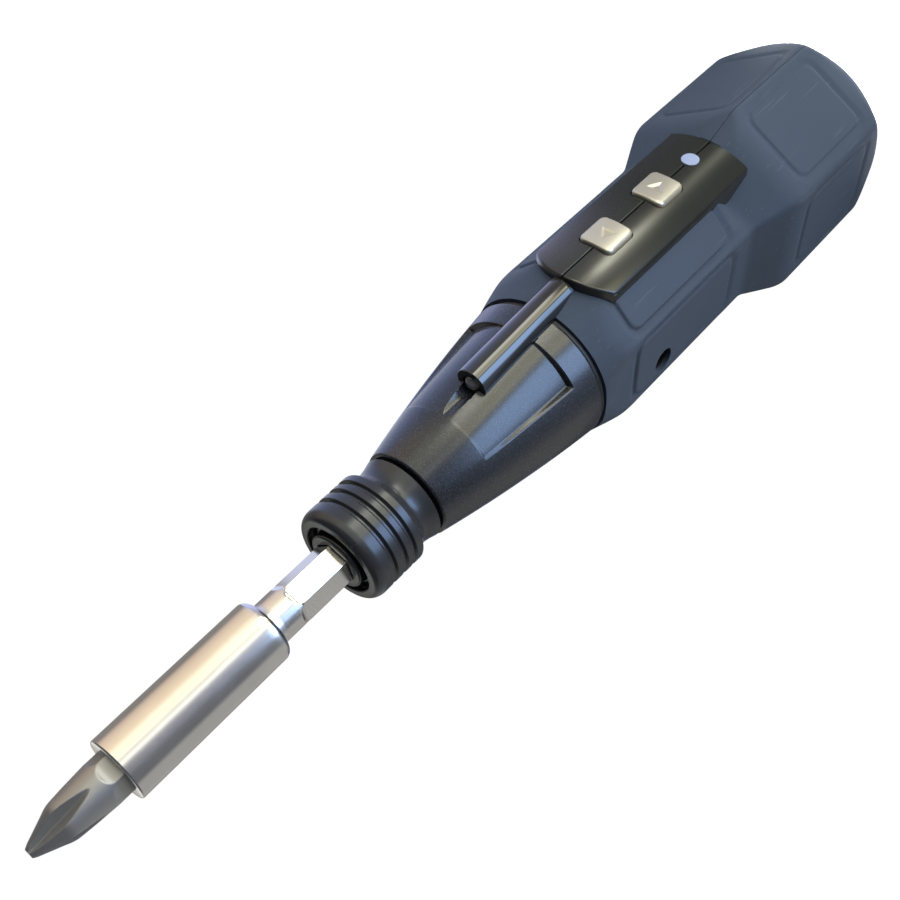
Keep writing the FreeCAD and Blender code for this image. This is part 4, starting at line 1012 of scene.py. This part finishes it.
def skin_room(name):
    """A closed ring outside the grip's skin, to cut off what would stand through it at the step."""
    azimuths = range(-180, 180, 2)
    heights = spaced(ROOM_FROM, (ROOM_STEP, 0.6), (ROOM_TO, 0.6))
    outer = turned_rows([(ROOM_OUTER, ROOM_TO), (ROOM_OUTER, ROOM_FROM)], azimuths)
    return turned_ring(name, formed_rows(room_radius, azimuths, heights) + outer)


def draw_in_panel(shape):
    """Draws the shell's own panel in under its cover, so that the parting line shows as a gap."""
    for vert in shape.verts:
        x, y, z = vert.co / MM
        on_panel = y < DRAWN_FOOT and hypot(x, y) > DRAWN_RADIUS
        if on_panel and PANEL_REAR - DRAWN_BEHIND < z < DRAWN_TO:
            vert.co = Vector((x * DRAWN_SHARE, y + DRAWN_DEPTH, min(z, DRAWN_FRONT))) * MM


def softened(node, width):
    """A welded copy of a solid that stands for it, with a bevel of this width on its sharp edges."""
    mesh = nodes[node].data.copy()
    shape = bmesh.new()
    shape.from_mesh(mesh)
    bmesh.ops.remove_doubles(shape, verts=shape.verts, dist=WELD * MM)
    bmesh.ops.dissolve_limit(shape, angle_limit=radians(FLAT_ANGLE), verts=shape.verts, edges=shape.edges,
                             delimit={"NORMAL"})
    weights = shape.edges.layers.float.new("bevel_weight_edge")
    for face in shape.faces:
        face.smooth = True
    for edge in shape.edges:
        sharp = edge.is_manifold and abs(edge.calc_face_angle_signed(0.0)) > radians(SHARP_ANGLE)
        edge[weights] = 1.0 if sharp else 0.0
        edge.smooth = not sharp
    if node in SHELLS:
        draw_in_panel(shape)
    shape.to_mesh(mesh)
    shape.free()
    give_finish(mesh, node)
    piece = add_object(node + "_soft", mesh)
    if node in SHELLS:
        cut(piece, [skin_room(node + "_room")])
    if width > 0:
        bevel = piece.modifiers.new("edges", "BEVEL")
        bevel.width = width * MM
        bevel.segments = 2
        bevel.limit_method = "WEIGHT"
        bevel.use_clamp_overlap = False
        bevel.harden_normals = True
        baked(piece)
    hand_over(piece, node)
    return piece


soft = {node: softened(node, width) for node, width in EDGE_WIDTHS.items()}
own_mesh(soft["chuck_spring"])
replaced = {node for piece in made_pieces for node in piece.get("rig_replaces", [])}
for node, solid in nodes.items():
    if node not in replaced:
        give_finish(solid.data, node)

# %% [markdown]
# Small parts that come in rows are made with Geometry Nodes: a line of points, one block on each point, made
# real and given a finish. The charging socket's contact blades and the board's resistors are two uses of the
# same tree.

# %% Rows of small parts
ROW_INPUTS = {"Count": "Int", "Start": "Vector", "Step": "Vector", "Size": "Vector", "Finish": "Material"}
row_tree = bpy.data.node_groups.new("row_of_blocks", "GeometryNodeTree")
row_tree.is_modifier = True
for label, kind in ROW_INPUTS.items():
    row_tree.interface.new_socket(name=label, in_out="INPUT", socket_type="NodeSocket" + kind)
row_tree.interface.new_socket(name="Geometry", in_out="OUTPUT", socket_type="NodeSocketGeometry")
given = row_tree.nodes.new("NodeGroupInput").outputs
result = row_tree.nodes.new("NodeGroupOutput").inputs
line = add_node(row_tree, "MeshLine", {"mode": "OFFSET"}, Count=given["Count"],
                Start_Location=given["Start"], Offset=given["Step"])
block = add_node(row_tree, "MeshCube", Size=given["Size"])
placed = add_node(row_tree, "InstanceOnPoints", Points=line.outputs[0], Instance=block.outputs[0])
real = add_node(row_tree, "RealizeInstances", Geometry=placed.outputs[0])
coated = add_node(row_tree, "SetMaterial", Geometry=real.outputs[0], Material=given["Finish"])
feed(result["Geometry"], coated.outputs[0])


def row_of_blocks(name, host, slot, **values):
    """A baked row of blocks with the finish that the slot names."""
    piece = new_object(name, [], [])
    step = piece.modifiers.new("row", "NODES")
    step.node_group = row_tree
    values["Finish"] = finishes[slot]
    for item in row_tree.interface.items_tree:
        if item.in_out == "INPUT":
            value = values[item.name]
            step[item.identifier] = tuple(part * MM for part in value) if isinstance(value, tuple) else value
    baked(piece)
    hand_over(piece, host, extra=True)


for label, y in (("upper", -0.37), ("lower", 0.37)):
    row_of_blocks("charging_contacts_" + label, "charging_socket", "brass", Count=6, Start=(-2.4, y, 3.3),
                  Step=(0.96, 0.0, 0.0), Size=(0.4, 0.1, 4.4))
for label, x in (("left", -3.6), ("right", 3.6)):
    row_of_blocks("board_resistors_" + label, "circuit_board", "switch_black", Count=4,
                  Start=(x, -12.27, 57.8), Step=(0.0, 0.0, 1.6), Size=(1.2, 0.5, 0.7))

# %% [markdown]
# The floor is one large pale sheet that glows like a light table, so the tool stands on plain white. It glows
# more in front, which sets the flats apart; little light comes from above, which keeps the slope at the tail
# dark. Two weak lamps fill in. In this cell, lengths are in metres.

# %% Floor and room light
WHITE = (1.0, 1.0, 1.0)
FLOOR_HALF = 12.0
GLOW_AZIMUTH = radians(-8.0)
GLOW_LEAST, GLOW_MOST = 1.0, 2.6
SKY, BACKDROP = 0.05, 1.1
LAMP_HEIGHT, LAMP_AWAY, LAMP_SIZE = 0.04, 0.8, 0.5
LAMP_AIM = Vector((0.0, 0.0, 0.09))

floor_mesh = bpy.data.meshes.new("floor")
corners = [(x * FLOOR_HALF, y * FLOOR_HALF, 0) for x, y in ((-1, -1), (1, -1), (1, 1), (-1, 1))]
floor_mesh.from_pydata(corners, [], [(0, 1, 2, 3)])
floor = add_object("floor", floor_mesh)
bsdf = start_material("pale_floor", Specular_IOR_Level=0.0, Emission_Color=WHITE)
dress(bsdf, (0.80, 0.80, 0.80), 0.9)
heading = vector_node("NORMALIZE", object_place(bsdf.id_data))["Vector"]
front = (sin(GLOW_AZIMUTH), -cos(GLOW_AZIMUTH), 0.0)
ahead = vector_node("DOT_PRODUCT", heading, front)["Value"]
feed(bsdf.inputs["Emission Strength"], spread(ahead, GLOW_LEAST, GLOW_MOST))
floor_mesh.materials.append(finishes["pale_floor"])

world = bpy.data.worlds.new("room")
bpy.context.scene.world = world
world.use_nodes = True
tree = world.node_tree
tree.nodes.clear()
rays = add_node(tree, "LightPath").outputs["Is Camera Ray"]
sky, backdrop = [add_node(tree, "Background", Color=WHITE, Strength=strength).outputs[0]
                 for strength in (SKY, BACKDROP)]
both = add_node(tree, "MixShader")
feed_all(both.inputs, (rays, sky, backdrop))
add_node(tree, "OutputWorld", Surface=both.outputs[0])
bpy.context.scene.view_settings.view_transform = "Standard"
bpy.context.scene.view_settings.look = "None"


def soft_lamp(name, azimuth, power, colour):
    """A square area lamp at an azimuth from -Y towards +X, that points at the middle of the tool."""
    lamp = bpy.data.lights.new(name, "AREA")
    lamp.size = LAMP_SIZE
    lamp.energy = power
    lamp.color = colour
    item = add_object(name, lamp)
    angle = radians(azimuth)
    item.location = (LAMP_AWAY * sin(angle), -LAMP_AWAY * cos(angle), LAMP_HEIGHT)
    item.rotation_euler = (LAMP_AIM - item.location).to_track_quat("-Z", "Y").to_euler()
    item.visible_camera = False
    item.visible_glossy = False


soft_lamp("front_lamp", -14, 0.4, WHITE)
soft_lamp("left_lamp", 60, 0.3, (0.9, 0.7, 1.0))
print("floor and room light made")

# %% [markdown]
# Polished metal and gloss plastic show what stands around them. Cards that only reflections see stand in a
# ring: cream, peach and dark ones for the metal, blue and warm ones lower down for the plastics, a dim sheet
# on the table and a dark roof. Their colours run round the ring by azimuth.

# %% Studio cards for the reflections
CARD_SIDES = 96


def card_ring(name, profile, stops, fade=None):
    """Turned cards through (radius, z) points. A stop is an azimuth from -Y towards +X and a colour, and the
    first two stops are the ends. Fade is a near and a far distance in metres and the share left near by."""
    azimuths = [360 * k / CARD_SIDES for k in range(CARD_SIDES)]
    ring = new_object(name, *lofted(turned_rows(profile, azimuths), around=True))
    material, tree = blank_material(name)
    place = object_place(tree)
    axes = add_node(tree, "SeparateXYZ", Vector=place).outputs
    angle = math_node("ARCTAN2", axes["X"], math_node("MULTIPLY", axes["Y"], -1.0))
    share = math_node("ADD", math_node("DIVIDE", angle, 2 * pi), 0.5)
    ramp = add_node(tree, "ValToRGB", Fac=share)
    steps = ramp.color_ramp.elements
    for k, (azimuth, *colour) in enumerate(stops):
        position = azimuth / 360 + 0.5
        step = steps[k] if k < 2 else steps.new(position)
        step.position = position
        step.color = (*colour, 1.0)
    glow = add_node(tree, "Emission", Color=ramp.outputs[0], Strength=1.0)
    if fade:
        near, far, least = fade
        away = vector_node("LENGTH", place)["Value"]
        rise = add_node(tree, "MapRange", Value=away, From_Min=near, From_Max=far, To_Min=least)
        feed(glow.inputs["Strength"], rise.outputs[0])
    add_node(tree, "OutputMaterial", Surface=glow.outputs[0])
    material.cycles.emission_sampling = "NONE"
    ring.data.materials.append(material)
    ring.visible_camera = False
    ring.visible_diffuse = False
    ring.visible_shadow = False


card_ring("upper_cards", [(180, 85), (180, 205)], [
    (-180, 0.46, 0.46, 0.45), (180, 0.30, 0.29, 0.28), (-110, 0.46, 0.46, 0.45), (-98, 0.16, 0.17, 0.19),
    (-70, 0.18, 0.19, 0.22), (-45, 0.36, 0.36, 0.42), (-34, 0.60, 0.60, 0.62), (-28, 1.6, 1.6, 1.55),
    (-20, 1.6, 1.6, 1.5), (-15, 1.0, 0.95, 0.85), (-8, 1.6, 1.6, 1.3), (18, 1.6, 1.55, 1.2),
    (30, 1.35, 1.1, 0.80), (70, 0.95, 0.75, 0.60), (90, 0.30, 0.28, 0.27), (120, 0.30, 0.29, 0.28),
])
card_ring("lower_cards", [(178, 0.8), (178, 85)], [
    (-180, 0.06, 0.06, 0.07), (180, 0.06, 0.06, 0.07), (-128, 0.5, 0.5, 0.48), (-100, 0.25, 0.3, 0.4),
    (-76, 0.6, 0.75, 1.1), (-66, 3.0, 4.4, 7.2), (-39, 3.4, 5.0, 8.0), (-33, 0.9, 1.0, 1.0),
    (-27, 4.2, 4.0, 2.9), (-16, 3.2, 3.1, 2.3), (4, 7.0, 6.8, 5.8), (12, 0.6, 0.55, 0.5),
    (60, 0.6, 0.7, 1.1), (90, 0.7, 0.85, 1.5), (112, 0.8, 0.85, 1.1), (150, 0.8, 0.9, 1.3),
])
card_ring("table_rim", [(112, 0.8), (178, 0.8)], [
    (-180, 0.06, 0.06, 0.07), (180, 0.06, 0.06, 0.07), (-100, 0.15, 0.17, 0.2), (-70, 0.3, 0.4, 0.6),
    (-62, 2.4, 3.6, 5.8), (-39, 2.8, 4.2, 6.6), (-34, 0.5, 0.55, 0.6), (-27, 4.6, 4.4, 2.9),
    (-20, 4.2, 4.0, 2.6), (-13, 0.5, 0.47, 0.42), (30, 0.4, 0.37, 0.36), (70, 0.7, 0.7, 1.0),
    (100, 0.9, 0.95, 1.5), (140, 0.1, 0.1, 0.12),
])
card_ring("table_card", [(20, 0.8), (112, 0.8)], [
    (-180, 0.06, 0.06, 0.07), (180, 0.06, 0.06, 0.07), (-100, 0.15, 0.17, 0.2), (-60, 0.8, 0.95, 1.4),
    (-34, 0.8, 0.85, 0.9), (-12, 1.0, 1.0, 0.9), (-4, 3.2, 3.2, 2.5), (4, 20.0, 20.0, 16.0),
    (11, 2.2, 2.1, 1.7), (20, 0.7, 0.65, 0.7), (60, 0.8, 0.8, 1.2), (90, 1.1, 1.2, 1.9),
    (140, 0.1, 0.1, 0.12),
], fade=(0.078, 0.112, 0.09))
card_ring("roof_cards", [(180, 205), (180, 300), (1, 300)], [
    (-180, 0.5, 0.5, 0.5), (180, 0.7, 0.7, 0.68), (-140, 0.10, 0.11, 0.13), (100, 0.10, 0.11, 0.13),
    (135, 1.1, 1.1, 1.05), (165, 1.1, 1.1, 1.05),
])
print("cards made")
